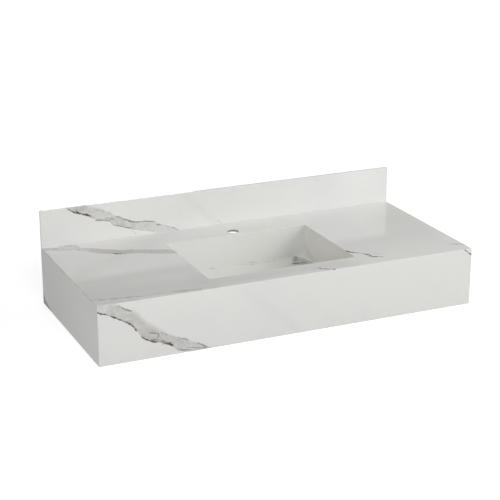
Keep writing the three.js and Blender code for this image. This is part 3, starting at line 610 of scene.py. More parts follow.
def drawn_wire():
    """Spring wire, dark in its drawing marks."""
    finish = Finish("drawn_wire", Metallic=1.0)
    marks = finish.noise(1.5, 4.0, 0.6, finish.stretched(1.0, 1.0, 4.0))
    finish.set("Base Color", finish.mix(finish.map(marks, 0.4, 0.65), (0.42, 0.42, 0.43), (0.24, 0.24, 0.25)))
    finish.set("Roughness", finish.map(marks, 0.3, 0.7, 0.22, 0.4))
    return finish.done(marks, 0.15, 0.02)


def joint_resin():
    """Resin tinted to match the stone, which fills the joints flush."""
    finish = Finish("joint_resin", IOR=1.5)
    cloud = finish.patches(15, 5.0, 0.6, 0.34, 0.66)
    finish.set("Base Color", finish.mix(cloud, (0.640, 0.636, 0.612), (0.700, 0.697, 0.676)))
    finish.set("Roughness", finish.map(cloud, 0.0, 1.0, 0.2, 0.34))
    return finish.done(finish.noise(2, 3.0), 0.2, 0.03)


def bead_resin():
    """The same resin squeezed out behind the joints, glossy and full of stone dust."""
    finish = Finish("bead_resin", IOR=1.52, Coat_Weight=0.3, Coat_Roughness=0.15)
    cloud = finish.patches(12, 5.0, 0.65, 0.34, 0.66)
    colour = finish.mix(cloud, (0.52, 0.49, 0.41), (0.63, 0.60, 0.52))
    dust = finish.patches(1.2, 3.0, 0.7, 0.52, 0.68, 0.0, 0.6)
    finish.set("Base Color", finish.mix(dust, colour, (0.74, 0.73, 0.70)))
    finish.set("Roughness", finish.map(dust, 0.0, 0.6, 0.28, 0.55))
    return finish.done(finish.noise(4, 4.0, 0.6), 0.4, 0.4)


# Finishes of the solids

def show(node, material):
    frame["nodes"][node].material_slots[0].material = material


def dress_slabs():
    floor_stone = plain_stone("stone_floor", "x", "y", -Z)
    for node, material in {
        "deck": deck_stone(),
        "front_apron": front_apron_stone(),
        "left_apron": left_apron_stone(),
        "right_apron": right_apron_stone(),
        "backsplash": backsplash_stone(),
        "basin_wall_back": basin_back_stone(),
        "basin_wall_right": basin_right_stone(),
        "basin_wall_front": plain_stone("stone_basin_front", "x", "z", -Y),
        "basin_wall_left": plain_stone("stone_basin_left", "y", "z", -X),
        "floor_panel_right": basin_floor_right_stone(),
        "floor_panel_front": floor_stone,
        "floor_panel_back": basin_floor_back_stone(),
        "floor_panel_left": floor_stone,
        "drain_plate": floor_stone,
    }.items():
        show(node, material)


def dress_supports():
    sawn = sawn_stone()
    steel = brushed_steel()
    show("front_backing_strip", sawn)
    for side in ("front", "back", "left", "right"):
        show(f"floor_batten_{side}", sawn)
    for end in ("left", "right"):
        for part in ("backing_strip", "rear_rail", "deck_rib", "bracket_block"):
            show(f"{end}_{part}", sawn)
        show(f"{end}_wall_bracket", steel)
    show("cartridge_spring", drawn_wire())


# Meshes

ROUND_SIDES = 96
SMALL_ROUND_SIDES = 48
THREAD_STEPS = 6
ROUNDING_STEPS = 4
TOUCH = 0.0001
EDGE_ANGLE = 32
HEXAGON_EDGE_ANGLE = 20
BEAD_EDGE_ANGLE = 60


def shaded(mesh, edge_angle):
    """Smooth shading, with an edge wherever the faces meet at more than edge_angle degrees."""
    mesh.polygons.foreach_set("use_smooth", [True] * len(mesh.polygons))
    mesh.set_sharp_from_angle(angle=math.radians(edge_angle))
    mesh.update()
    return mesh


def add_piece(name, mesh, material, body=BODY, stands_for=()):
    mesh.name = name
    mesh.materials.clear()
    mesh.materials.append(material)
    piece = placed(name, mesh)
    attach(piece, body)
    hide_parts(*stands_for)


def stand_in(node, mesh, material, body=BODY):
    """Adds the piece that takes a node's place."""
    add_piece(f"{node}_visual", mesh, material, body, [node])


def mesh_from(build, edge_angle=EDGE_ANGLE):
    """A mesh from what build adds to an empty shape."""
    shape = bmesh.new()
    build(shape)
    bmesh.ops.recalc_face_normals(shape, faces=shape.faces)
    mesh = bpy.data.meshes.new("mesh")
    shape.to_mesh(mesh)
    shape.free()
    return shaded(mesh, edge_angle)


def skin(shape, rings, endless=False):
    """Adds a closed solid over rings of points. A ring of one point is a tip. Endless rings go on
    from the last to the first, and others are closed by a face at each end."""
    rings = [[shape.verts.new(point) for point in ring] for ring in rings]
    sides = max(len(ring) for ring in rings)
    if not endless:
        shape.faces.new(rings[0])
        shape.faces.new(rings[-1])
    following = rings[1:] + rings[:1] if endless else rings[1:]
    for first, second in zip(rings, following):
        if len(first) == 1 and len(second) == 1:
            continue
        for k in range(sides):
            corners = [first[k % len(first)], first[(k + 1) % len(first)],
                       second[(k + 1) % len(second)], second[k % len(second)]]
            shape.faces.new(list(dict.fromkeys(corners)))


def united(*meshes):
    """One closed mesh from several that overlap."""
    solids = [placed("solid", mesh) for mesh in meshes]
    for tool in solids[1:]:
        union = solids[0].modifiers.new("union", "BOOLEAN")
        union.operation = "UNION"
        union.solver = "EXACT"
        union.object = tool
    bpy.context.view_layer.update()
    whole = solids[0].evaluated_get(bpy.context.evaluated_depsgraph_get())
    mesh = bpy.data.meshes.new_from_object(whole)
    for solid in solids:
        bpy.data.objects.remove(solid)
    return shaded(mesh, EDGE_ANGLE)


def eased(corners):
    """A closed outline whose corners are rounded. A corner is (across, up) or (across, up, radius)."""
    points = []
    for i, corner in enumerate(corners):
        here = Vector(corner[:2])
        if len(corner) == 2:
            points.append(here)
            continue
        back = Vector(corners[i - 1][:2]) - here
        on = Vector(corners[(i + 1) % len(corners)][:2]) - here
        run = min(corner[2] / math.tan(back.angle(on) / 2), 0.49 * back.length, 0.49 * on.length)
        start, end = here + back.normalized() * run, here + on.normalized() * run
        for k in range(ROUNDING_STEPS + 1):
            t = k / ROUNDING_STEPS
            points.append(start * (1 - t) ** 2 + here * 2 * t * (1 - t) + end * t ** 2)
    return points


def collar(inner, outer, foot, top, inner_ease, outer_ease):
    """The outline of a plain ring with rounded edges."""
    return eased([(inner, foot, inner_ease), (outer, foot, outer_ease),
                  (outer, top, outer_ease), (inner, top, inner_ease)])


def turned(outline, sides=ROUND_SIDES, radius_at=None, edge_angle=EDGE_ANGLE, centre=DRAIN):
    """A round mesh about Z through centre, from a closed outline of (radius, height). A point on the
    axis stays one point. radius_at(radius, height, angle) can move a point in or out."""
    rings = []
    for radius, height in outline:
        ring = []
        for k in range(sides if radius > TOUCH else 1):
            angle = math.tau * k / sides
            reach = radius_at(radius, height, angle) if radius_at else radius
            ring.append(centre + Vector((reach * math.cos(angle), reach * math.sin(angle), height)) * MM)
        rings.append(ring)
    return mesh_from(lambda shape: skin(shape, rings, endless=True), edge_angle)


def threaded(outline, low, high, pitch, depth):
    """Adds rows to the run that goes straight up past low and high, on the outside. Gives back the
    outline and the function that cuts the thread between them."""
    rows = []
    for first, second in zip(outline, outline[1:] + outline[:1]):
        rows.append(first)
        upright = first[0] > 0 and abs(first[0] - second[0]) < TOUCH
        if upright and first[1] < low and second[1] > high:
            count = round((high - low) / pitch * THREAD_STEPS)
            heights = [low + (high - low) * k / count for k in range(count + 1)]
            rows.extend(Vector((first[0], height)) for height in heights)
            crest = first[0]

    def radius_at(radius, height, angle):
        if abs(radius - crest) > TOUCH or not low < height < high:
            return radius
        turn = (height / pitch - angle / math.tau) % 1
        run_out = min(1, (height - low) / pitch, (high - height) / pitch)
        return radius - depth * run_out * (1 - abs(2 * turn - 1))

    return rows, radius_at


def hexagonal(flats):
    """Limits a turned solid to a hexagon that measures flats across, with a corner at angle 0."""
    def radius_at(radius, height, angle):
        off_flat = angle % (math.pi / 3) - math.pi / 6
        return min(radius, flats / 2 / math.cos(off_flat))
    return radius_at


# The waste. Heights are from the top of the drain plate.

CLEARANCE = 0.3
FLANGE_RADIUS = 32
FLANGE_UNDER = -1.2
FLANGE_TOP = 0.8
NECK_RADIUS = 22.5
TAIL_RADIUS = 21
TAIL_END = -55.2
TAIL_PITCH = 2.3
TAIL_THREAD_DEPTH = 1.1
TAIL_THREAD_LEAD = 1.2
TAIL_THREAD_TOP = -12
TAIL_CHAMFER = 1
BORE_RADIUS = 18
SEAT_BEVEL = 3.5
GASKET_FOOT = -2.7
GASKET_TOP = -1.5
GASKET_INSET = 0.8
WASHER_TOP = -6.3
WASHER_HEIGHT = 6
CLAMP_RADIUS = 30
WASHER_LIP_RADIUS = 25
SLIP_RING_HEIGHT = 1.8
NUT_HEIGHT = 8
NUT_FLATS = 56
NUT_EASE = 1.2
NUT_BORE_EASE = 0.6
CROSSBAR_TOP = -17
CROSSBAR_FOOT = -24
CROSSBAR_BOSS_RADIUS = 10.5
RIB_THICKNESS = 3
RIB_COUNT = 3
BARREL_RADIUS = 6.7
BARREL_FOOT = -41
BARREL_WALL = 1.5
BARREL_FLOOR = 2
BARREL_PITCH = 1.25
BARREL_THREAD_DEPTH = 0.7
BARREL_THREAD_LEAD = 1
HEAD_RADIUS = 9.5
HEAD_HEIGHT = 3.7
STEM_RADIUS = 3.1
STEM_TAIL_RADIUS = 2.4
STEM_TAIL_LENGTH = 9
COLLAR_HEIGHT = 2
TRAVEL = 8
CAP_RADIUS = 30
CAP_RIM = 1
CAP_RISE = 3
SKIRT_RADIUS = 15
SKIRT_WALL = 2.5
SKIRT_DEPTH = 10
SEAL_HEIGHT = 3
SEAL_LIP = 0.5
RETAINER = 1.2
CAP_BOSS_RADIUS = 6
CAP_BOSS_DEPTH = 11
DOME_STEPS = 20

PLUG_SEAT = FLANGE_TOP + CLEARANCE
HEAD_FOOT = CROSSBAR_TOP + CLEARANCE
HEAD_TOP = HEAD_FOOT + HEAD_HEIGHT
CAVITY_RADIUS = BARREL_RADIUS - BARREL_WALL
THREAD_CLEAR_RADIUS = TAIL_RADIUS + CLEARANCE
NECK_FOOT = HEAD_TOP - BARREL_WALL
STEM_HOLE_RADIUS = STEM_RADIUS + CLEARANCE
STEM_TOP = PLUG_SEAT - CLEARANCE


def waste_body():
    """The chromed waste: flange, bevelled seat, neck, threaded tail and the crossbar's boss and ribs."""
    outline, cut = threaded(eased([
        (BORE_RADIUS, TAIL_END, 0.3), (TAIL_RADIUS - TAIL_CHAMFER, TAIL_END),
        (TAIL_RADIUS, TAIL_END + TAIL_CHAMFER), (TAIL_RADIUS, -SLAB), (NECK_RADIUS, -SLAB, 0.3),
        (NECK_RADIUS, FLANGE_UNDER), (FLANGE_RADIUS, FLANGE_UNDER, 0.2), (FLANGE_RADIUS, FLANGE_TOP, 1.1),
        (BORE_RADIUS + SEAT_BEVEL, FLANGE_TOP, 0.4), (BORE_RADIUS, FLANGE_TOP - SEAT_BEVEL, 0.6),
    ]), TAIL_END + TAIL_THREAD_LEAD, TAIL_THREAD_TOP, TAIL_PITCH, TAIL_THREAD_DEPTH)
    hole = BARREL_RADIUS + CLEARANCE
    boss = collar(hole, CROSSBAR_BOSS_RADIUS, CROSSBAR_FOOT, CROSSBAR_TOP, 0.4, 0.8)
    return united(turned(outline, radius_at=cut), turned(boss), *(rib(place) for place in range(RIB_COUNT)))


def rib(place):
    """One rib of the crossbar, with round upper and lower edges, from the boss to the tail."""
    half = RIB_THICKNESS / 2
    outline = eased([(-half, CROSSBAR_FOOT, 0.9), (half, CROSSBAR_FOOT, 0.9),
                     (half, CROSSBAR_TOP, 1.2), (-half, CROSSBAR_TOP, 1.2)])
    turn = Matrix.Rotation(math.tau * place / RIB_COUNT, 4, "Z")
    ends = (BARREL_RADIUS + CROSSBAR_BOSS_RADIUS) / 2, (BORE_RADIUS + TAIL_RADIUS) / 2
    rings = [[DRAIN + turn @ Vector((across, out, up)) * MM for across, up in outline] for out in ends]
    return mesh_from(lambda shape: skin(shape, rings))


def clamp_parts(black, white, brass):
    """The gasket under the flange and, below the plate, the cone washer, slip ring and back nut."""
    gasket = collar(NECK_RADIUS + CLEARANCE, FLANGE_RADIUS - GASKET_INSET, GASKET_FOOT, GASKET_TOP, 0.2, 0.5)
    stand_in("flange_gasket", turned(gasket), black)
    foot = WASHER_TOP - WASHER_HEIGHT
    half = WASHER_HEIGHT / 2
    washer = eased([
        (THREAD_CLEAR_RADIUS, foot, 0.3), (CLAMP_RADIUS, foot, 0.8), (CLAMP_RADIUS, foot + half, 0.8),
        (WASHER_LIP_RADIUS + half, WASHER_TOP, 0.8), (THREAD_CLEAR_RADIUS, WASHER_TOP, 0.3),
    ])
    stand_in("cone_washer", turned(washer), black)
    top = foot - CLEARANCE
    foot = top - SLIP_RING_HEIGHT
    slip_ring = collar(THREAD_CLEAR_RADIUS, CLAMP_RADIUS, foot, top, 0.3, 0.5)
    stand_in("slip_ring", turned(slip_ring), white)
    top = foot - CLEARANCE
    foot = top - NUT_HEIGHT
    corner = NUT_FLATS / 2 / math.cos(math.pi / 6)
    outline = [
        (THREAD_CLEAR_RADIUS, foot + NUT_BORE_EASE), (THREAD_CLEAR_RADIUS + NUT_BORE_EASE, foot),
        (corner - NUT_EASE, foot), (corner, foot + NUT_EASE / 2), (corner, top - NUT_EASE / 2),
        (corner - NUT_EASE, top), (THREAD_CLEAR_RADIUS + NUT_BORE_EASE, top),
        (THREAD_CLEAR_RADIUS, top - NUT_BORE_EASE),
    ]
    nut = turned(outline, radius_at=hexagonal(NUT_FLATS), edge_angle=HEXAGON_EDGE_ANGLE)
    stand_in("back_nut", nut, brass)


def cartridge(plastic):
    """The threaded barrel that hangs in the crossbar by its head, open inside for the stem."""
    floor_top = BARREL_FOOT + BARREL_FLOOR
    outline = eased([
        (0, BARREL_FOOT), (BARREL_RADIUS, BARREL_FOOT, 0.8), (BARREL_RADIUS, HEAD_FOOT),
        (HEAD_RADIUS, HEAD_FOOT, 0.3), (HEAD_RADIUS, HEAD_TOP, 0.8), (STEM_HOLE_RADIUS, HEAD_TOP, 0.3),
        (STEM_HOLE_RADIUS, NECK_FOOT), (CAVITY_RADIUS, NECK_FOOT), (CAVITY_RADIUS, floor_top),
        (0, floor_top),
    ])
    outline, cut = threaded(outline, BARREL_FOOT + BARREL_THREAD_LEAD, CROSSBAR_TOP - BARREL_THREAD_LEAD,
                            BARREL_PITCH, BARREL_THREAD_DEPTH)
    stand_in("push_cartridge", turned(outline, SMALL_ROUND_SIDES, cut), plastic)


def plug(bright, black, brass):
    """The domed cap, its seal and its stem, with the plug down on its seat."""
    shoulder = PLUG_SEAT + CAP_RIM
    turns = [math.pi / 2 * i / DOME_STEPS for i in range(DOME_STEPS)]
    dome = [(CAP_RADIUS * math.cos(turn), shoulder + CAP_RISE * math.sin(turn)) for turn in turns]
    socket = STEM_TOP + CLEARANCE
    seal_foot = STEM_TOP - SEAL_HEIGHT
    skirt_inner = SKIRT_RADIUS - SKIRT_WALL
    skirt_foot = PLUG_SEAT - SKIRT_DEPTH
    lip_radius = SKIRT_RADIUS + RETAINER
    lip_top = seal_foot - CLEARANCE
    lip_foot = lip_top - RETAINER
    boss_foot = PLUG_SEAT - CAP_BOSS_DEPTH
    cap = eased([
        (0, socket), (STEM_HOLE_RADIUS, socket), (STEM_HOLE_RADIUS, boss_foot, 0.3),
        (CAP_BOSS_RADIUS, boss_foot, 0.5), (CAP_BOSS_RADIUS, PLUG_SEAT), (skirt_inner, PLUG_SEAT),
        (skirt_inner, skirt_foot, 0.4), (SKIRT_RADIUS, skirt_foot, 0.4), (SKIRT_RADIUS, lip_foot),
        (lip_radius, lip_foot, 0.3), (lip_radius, lip_top, 0.3), (SKIRT_RADIUS, lip_top),
        (SKIRT_RADIUS, PLUG_SEAT), (CAP_RADIUS, PLUG_SEAT, 0.3), *dome, (0, shoulder + CAP_RISE),
    ])
    stand_in("plug_cap", turned(cap), bright, PLUG)

    lip = STEM_TOP - SEAL_LIP
    bevel = BORE_RADIUS + SEAT_BEVEL - FLANGE_TOP - CLEARANCE * math.sqrt(2)
    inner = SKIRT_RADIUS + CLEARANCE
    seal = eased([
        (inner, seal_foot, 0.3), (bevel + seal_foot, seal_foot, 0.4), (bevel + lip, lip, 0.3),
        (bevel + lip, STEM_TOP, 0.2), (inner, STEM_TOP, 0.3),
    ])
    stand_in("plug_seal", turned(seal), black, PLUG)

    collar_top = NECK_FOOT - CLEARANCE - TRAVEL
    collar_foot = collar_top - COLLAR_HEIGHT
    collar_radius = CAVITY_RADIUS - CLEARANCE
    stem = eased([
        (0, collar_foot - STEM_TAIL_LENGTH), (STEM_TAIL_RADIUS, collar_foot - STEM_TAIL_LENGTH, 0.5),
        (STEM_TAIL_RADIUS, collar_foot), (collar_radius, collar_foot, 0.3),
        (collar_radius, collar_top, 0.3), (STEM_RADIUS, collar_top),
        (STEM_RADIUS, STEM_TOP, 0.5), (0, STEM_TOP),
    ])
    stand_in("plug_stem", turned(stem, SMALL_ROUND_SIDES), brass, PLUG)


def waste():
    bright, black, brass = chrome(), rubber(), turned_brass()
    stand_in("waste_body", waste_body(), bright)
    clamp_parts(black, moulded("nylon", (0.76, 0.75, 0.69), (0.70, 0.69, 0.62), 0.42), brass)
    cartridge(moulded("acetal", (0.82, 0.82, 0.80), (0.76, 0.76, 0.74), 0.3))
    plug(bright, black, brass)


# Bracket screws

SCREW_HEAD = 4
SCREW_FLATS = 10
SCREW_RADIUS = 3
SCREW_PITCH = 1
SCREW_THREAD_DEPTH = 0.55
SCREW_THREAD_LEAD = 1.2
SCREW_THREAD_TAIL = 0.9
SCREW_TIP = 0.8


def bracket_screws():
    """Hexagon-head screws along X, their heads on the inner side of each bracket."""
    zinc = zinc_plate()
    for end, inward in ENDS:
        for level in ("upper", "lower"):
            node = f"{end}_bracket_screw_{level}"
            low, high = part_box(node)
            head = Vector(((high if inward.x > 0 else low).x, (low.y + high.y) / 2, (low.z + high.z) / 2))
            turn = Matrix.Rotation(-inward.x * math.pi / 2, 4, "Y")
            mesh = screw((high.x - low.x) / MM)
            mesh.transform(Matrix.Translation(head) @ turn)
            stand_in(node, mesh, zinc)


def screw(length):
    """A screw that points up, the outer face of its head at height 0."""
    corner = SCREW_FLATS / 2 / math.cos(math.pi / 6)
    ease = SCREW_HEAD / 4
    outline, cut = threaded([
        (0, 0), (corner - ease, 0), (corner, ease / 2), (corner, SCREW_HEAD - ease / 2),
        (corner - ease, SCREW_HEAD), (SCREW_RADIUS, SCREW_HEAD), (SCREW_RADIUS, length - SCREW_TIP),
        (SCREW_RADIUS - SCREW_TIP, length), (0, length),
    ], SCREW_HEAD + SCREW_THREAD_LEAD, length - SCREW_THREAD_TAIL, SCREW_PITCH, SCREW_THREAD_DEPTH)
    flat = hexagonal(SCREW_FLATS)

    def radius_at(radius, height, angle):
        return flat(cut(radius, height, angle), height, angle)

    return turned(outline, SMALL_ROUND_SIDES, radius_at, HEXAGON_EDGE_ANGLE, Vector())


# Resin in the joints

GLUE_LINE = 0.3
SIDE_CLEARANCE = 0.02
RECESS = 0.05
ARRIS = 1
RIM_ARRIS = 0.6
FOOT_EASE = 1
DEPTH = SLAB - RECESS
HALF_GAP = GLUE_LINE / 2 - SIDE_CLEARANCE
MITRE_SHIFT = HALF_GAP * math.sqrt(0.5)


def bar(shape, start, end, run, sink, outline, splay=(0, 0)):
    """Adds a bar along an edge from start to end, from an outline along run and sink. splay says how
    far each end moves in for each millimetre of depth, so that it is mitred."""
    along = (end - start).normalized()
    rings = []
    for corner, inward, share in ((start, 1, splay[0]), (end, -1, splay[1])):
        depths = [share * max(a, b) + abs(share) * GLUE_LINE for a, b in outline]
        rings.append([corner + (run * a + sink * b + along * inward * depth) * MM
                      for (a, b), depth in zip(outline, depths)])
    skin(shape, rings)


def mitre_gap(arris):
    """The outline of the gap in a mitred edge, along one face and into the other slab."""
    start = arris / 2 + RECESS
    return [(start + MITRE_SHIFT, start - MITRE_SHIFT), (DEPTH + 2 * MITRE_SHIFT, DEPTH),
            (DEPTH, DEPTH + 2 * MITRE_SHIFT), (start - MITRE_SHIFT, start + MITRE_SHIFT)]


def oblong(left, low, right, high):
    return [(left, low), (right, low), (right, high), (left, high)]


def basin_faces(outer=False):
    """Where the inner, or the outer, faces of the basin's walls are: left, right, front and back."""
    near, far = (0, 1) if outer else (1, 0)
    return (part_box("basin_wall_left")[near].x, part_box("basin_wall_right")[far].x,
            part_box("basin_wall_front")[near].y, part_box("basin_wall_back")[far].y)


def sides_of(left, right, front, back, height):
    """For each side of a level rectangle, the direction out of it and its two ends."""
    return [(out, Vector((*start, height)), Vector((*end, height))) for out, start, end in (
        (Y, (left, back), (right, back)), (-Y, (left, front), (right, front)),
        (X, (right, front), (right, back)), (-X, (left, front), (left, back)),
    )]


def trimmed(start, end, first, last=None):
    """The ends of an edge, moved in by first and last, or both by first."""
    along = (end - start).normalized() * MM
    return start + along * first, end - along * (first if last is None else last)


def outer_joints(shape):
    """The edges where the deck and the aprons meet, and the two upright front corners."""
    low, high = cad_box
    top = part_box("deck")[1].z
    gap = mitre_gap(ARRIS)
    bar(shape, Vector((low[0], low[1], top)), Vector((high[0], low[1], top)), Y, -Z, gap, (1, 1))
    for inward, edge in ((X, low[0]), (-X, high[0])):
        corner = Vector((edge, low[1], top))
        back = Vector((edge, high[1] - RECESS * MM, top))
        foot = Vector((edge, low[1], FOOT_EASE * MM))
        bar(shape, corner, back, inward, -Z, gap, (1, 0))
        bar(shape, corner, foot, inward, Y, gap, (1, 0))


def basin_joints(shape):
    """The basin's rim and its four inner corners."""
    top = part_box("deck")[1].z
    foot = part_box("basin_wall_back")[0].z
    left, right, front, back = basin_faces()
    for out, start, end in sides_of(left, right, front, back, top):
        bar(shape, start, end, out, -Z, mitre_gap(RIM_ARRIS), (-1, -1))
    corner = [(RECESS, RECESS - 2 * MITRE_SHIFT), (DEPTH, DEPTH - 2 * MITRE_SHIFT),
              (DEPTH - 2 * MITRE_SHIFT, DEPTH), (RECESS - 2 * MITRE_SHIFT, RECESS)]
    for out_x, x in ((X, right), (-X, left)):
        for out_y, y in ((Y, back), (-Y, front)):
            start = Vector((x, y, top - RIM_ARRIS * MM))
            bar(shape, start, Vector((x, y, foot)), out_x, out_y, corner, (1, 0))


def floor_joints(shape):
    """The foot of each wall, the edge of the drain plate and the creases between the floor's panels."""
    left, right, front, back = basin_faces()
    floor_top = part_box("floor_panel_back")[1].z
    foot = oblong(SIDE_CLEARANCE, RECESS, 2 * HALF_GAP, DEPTH)
    crease = oblong(-HALF_GAP, RECESS, HALF_GAP, DEPTH)
    for out, start, end in sides_of(left, right, front, back, floor_top):
        ends = trimmed(start, end, GLUE_LINE if out.y else 2 * GLUE_LINE)
        bar(shape, *ends, -out, -Z, foot)
    low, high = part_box("drain_plate")
    half = (high.x - low.x) / 2 + HALF_GAP * MM
    square = DRAIN.x - half, DRAIN.x + half, DRAIN.y - half, DRAIN.y + half
    for out, start, end in sides_of(*square, DRAIN.z):
        bar(shape, *trimmed(start, end, GLUE_LINE), out, -Z, crease)
    for x, to_side in ((right, half), (left, -half)):
        for y, to_back in ((back, half), (front, -half)):
            outer = Vector((x, y, floor_top))
            inner = DRAIN + Vector((to_side, to_back, 0))
            across = (inner - outer).cross(Z).normalized()
            bar(shape, *trimmed(outer, inner, 2 * GLUE_LINE, GLUE_LINE), across, -Z, crease)


def backsplash_joint(shape):
    """The line under the backsplash."""
    low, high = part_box("backsplash")
    deck_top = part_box("deck")[1].z
    gap_top = (low.z - deck_top) / MM - SIDE_CLEARANCE
    ends = (Vector((x, low.y, deck_top)) for x in (low.x + ARRIS * MM, high.x - ARRIS * MM))
    bar(shape, *ends, Y, Z, oblong(RECESS, SIDE_CLEARANCE, DEPTH, gap_top))


# Beads of resin behind the joints. A wave of a bead has a height as a share of the bead's size, a
# length, and a shift for each step of the bead's seed.

BEAD_STEP = 2.5
BEAD_LEAST_STEPS = 4
BEAD_ARC_STEPS = 5
BEAD_END = 3
BEAD_TIP = 0.2
BEAD_WAVES = ((0.16, 7.3, 1), (0.11, 3.1, 2.3), (0.09, 19, 1.7))
BEAD_LEAN = (0.12, 11, 3.1)
BEAD_HOLLOW = 0.28
BEAD_SIZE = 4
BLOCK_BEAD_SIZE = 3.5
BASIN_BEAD_SIZE = 5
BATTEN_BEAD_MORE = 3
BEAD_CLEARANCE = 2
RIB_BEAD_TRIM = 6
BATTEN_BEAD_TRIM = 14
SHORTEST_BEAD = 8


def bead(shape, start, end, run, sink, size, seed):
    """Adds a lumpy bead in an inner corner from start to end. run and sink point out of the corner
    along its two faces."""
    length = (end - start).length / MM
    steps = max(BEAD_LEAST_STEPS, round(length / BEAD_STEP))
    rings = []
    for i in range(steps + 1):
        place = length * i / steps
        *lumps, lean = (height * math.sin(place / wave + shift * seed)
                        for height, wave, shift in (*BEAD_WAVES, BEAD_LEAN))
        to_end = min(place, length - place) + BEAD_TIP
        bulk = size * (1 + sum(lumps)) * math.sqrt(min(1, to_end / BEAD_END))
        middle = start.lerp(end, i / steps) + (run + sink) * SIDE_CLEARANCE * MM
        ring = [middle]
        for k in range(BEAD_ARC_STEPS + 1):
            angle = math.pi / 2 * k / BEAD_ARC_STEPS
            reach = bulk * (1 - BEAD_HOLLOW * math.sin(2 * angle))
            across = run * math.cos(angle) * (1 + lean) + sink * math.sin(angle) * (1 - lean)
            ring.append(middle + across * reach * MM)
        rings.append(ring)
    skin(shape, rings)


def box_edge(node, out, up):
    """The two ends of the edge of a node's box between its faces towards out and up."""
    low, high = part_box(node)
    way = out + up
    return (Vector([high[i] if way[i] > 0 else low[i] for i in range(3)]),
            Vector([low[i] if way[i] < 0 else high[i] for i in range(3)]))


def bead_beside(shape, node, run, sink, size, seed):
    """A bead in the corner that the side of a node's box towards sink makes with the slab behind."""
    bead(shape, *box_edge(node, -run, sink), run, sink, size, seed)


def runs_between(low, high, gaps):
    """The stretches from low to high that are left between gaps, which are in order."""
    starts = [low, *(gap[1] for gap in gaps)]
    ends = [*(gap[0] for gap in gaps), high]
    return [(start, end) for start, end in zip(starts, ends) if end - start > SHORTEST_BEAD * MM]


def beads_under_deck(shape):
    """Beads between the underside of the deck and the strips, rails, ribs and basin walls."""
    clear = BEAD_CLEARANCE * MM
    strips = [box_edge(f"{end}_backing_strip", inward, Z) for end, inward in ENDS]
    ribs = [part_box(f"{end}_deck_rib") for end, _ in ENDS]
    gaps = [(low.x - clear, high.x + clear) for low, high in ribs]
    front = box_edge("front_backing_strip", Y, Z)[0]
    inner = strips[0][0].x + clear, strips[1][0].x - clear
    for k, (start, end) in enumerate(runs_between(*inner, gaps)):
        bead(shape, Vector((start, *front.yz)), Vector((end, *front.yz)), Y, -Z, BEAD_SIZE, k)
    for k, (end, inward) in enumerate(ENDS):
        near, far = strips[k]
        near.y = front.y + clear
        bead(shape, near, far, inward, -Z, BEAD_SIZE, k + 4)
        near, far = box_edge(f"{end}_rear_rail", -Y, Z)
        for start, stop in runs_between(near.x, far.x, [gaps[k]]):
            bead(shape, Vector((start, *near.yz)), Vector((stop, *near.yz)), -Y, -Z, BEAD_SIZE, k + 6)
        for side in (X, -X):
            ends = trimmed(*box_edge(f"{end}_deck_rib", side, Z), RIB_BEAD_TRIM)
            bead(shape, *ends, side, -Z, BEAD_SIZE, k + 8 + side.x)
    for seed, (out, start, end) in enumerate(sides_of(*basin_faces(outer=True), front.z), 12):
        bead(shape, start, end, out, -Z, BASIN_BEAD_SIZE, seed)


def beads_on_aprons(shape):
    """Beads below the backing strips, and round the blocks that carry the brackets."""
    bead_beside(shape, "front_backing_strip", Y, -Z, BEAD_SIZE, 20)
    for k, (end, inward) in enumerate(ENDS):
        bead_beside(shape, f"{end}_backing_strip", inward, -Z, BEAD_SIZE, k + 21)
        bead_beside(shape, f"{end}_bracket_block", inward, -Y, BLOCK_BEAD_SIZE, k + 23)
        bead_beside(shape, f"{end}_bracket_block", inward, -Z, BLOCK_BEAD_SIZE, k + 25)


def beads_at_battens(shape):
    """Beads between the battens and the floor panels that rest on them."""
    for seed, (side, inward) in enumerate((("back", -Y), ("front", Y), ("right", -X), ("left", X)), 30):
        ends = trimmed(*box_edge(f"floor_batten_{side}", inward, Z), BATTEN_BEAD_TRIM)
        overlap = (ends[0].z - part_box(f"floor_panel_{side}")[0].z) / MM
        bead(shape, *ends, inward, -Z, min(BEAD_SIZE, overlap + BATTEN_BEAD_MORE), seed)


def resin_pieces():
    joint, squeezed = joint_resin(), bead_resin()
    for name, build, resin, edge_angle in (
        ("apron_joint_resin", outer_joints, joint, EDGE_ANGLE),
        ("basin_joint_resin", basin_joints, joint, EDGE_ANGLE),
        ("floor_joint_resin", floor_joints, joint, EDGE_ANGLE),
        ("backsplash_joint_resin", backsplash_joint, joint, EDGE_ANGLE),
        ("deck_adhesive_beads", beads_under_deck, squeezed, BEAD_EDGE_ANGLE),
        ("apron_adhesive_beads", beads_on_aprons, squeezed, BEAD_EDGE_ANGLE),
        ("batten_adhesive_beads", beads_at_battens, squeezed, BEAD_EDGE_ANGLE),
    ):
        add_piece(name, mesh_from(build, edge_angle), resin)


# Stage, light and camera

CAMERA_PLACE = (-1.428, -3.151, 1.341)
CAMERA_YAW = math.radians(24.11)
CAMERA_PITCH = math.radians(19.07)
CAMERA_LENS = 103.6
SENSOR_WIDTH = 36

FLOOR_REACH = 40
FLOOR_COLOUR = (0.45, 0.45, 0.45)
FLOOR_GLOW = 0.76
FLOOR_SHADOWED = (0.42, 0.42, 0.42)
NEAR = 0.8
FAR = 2.2


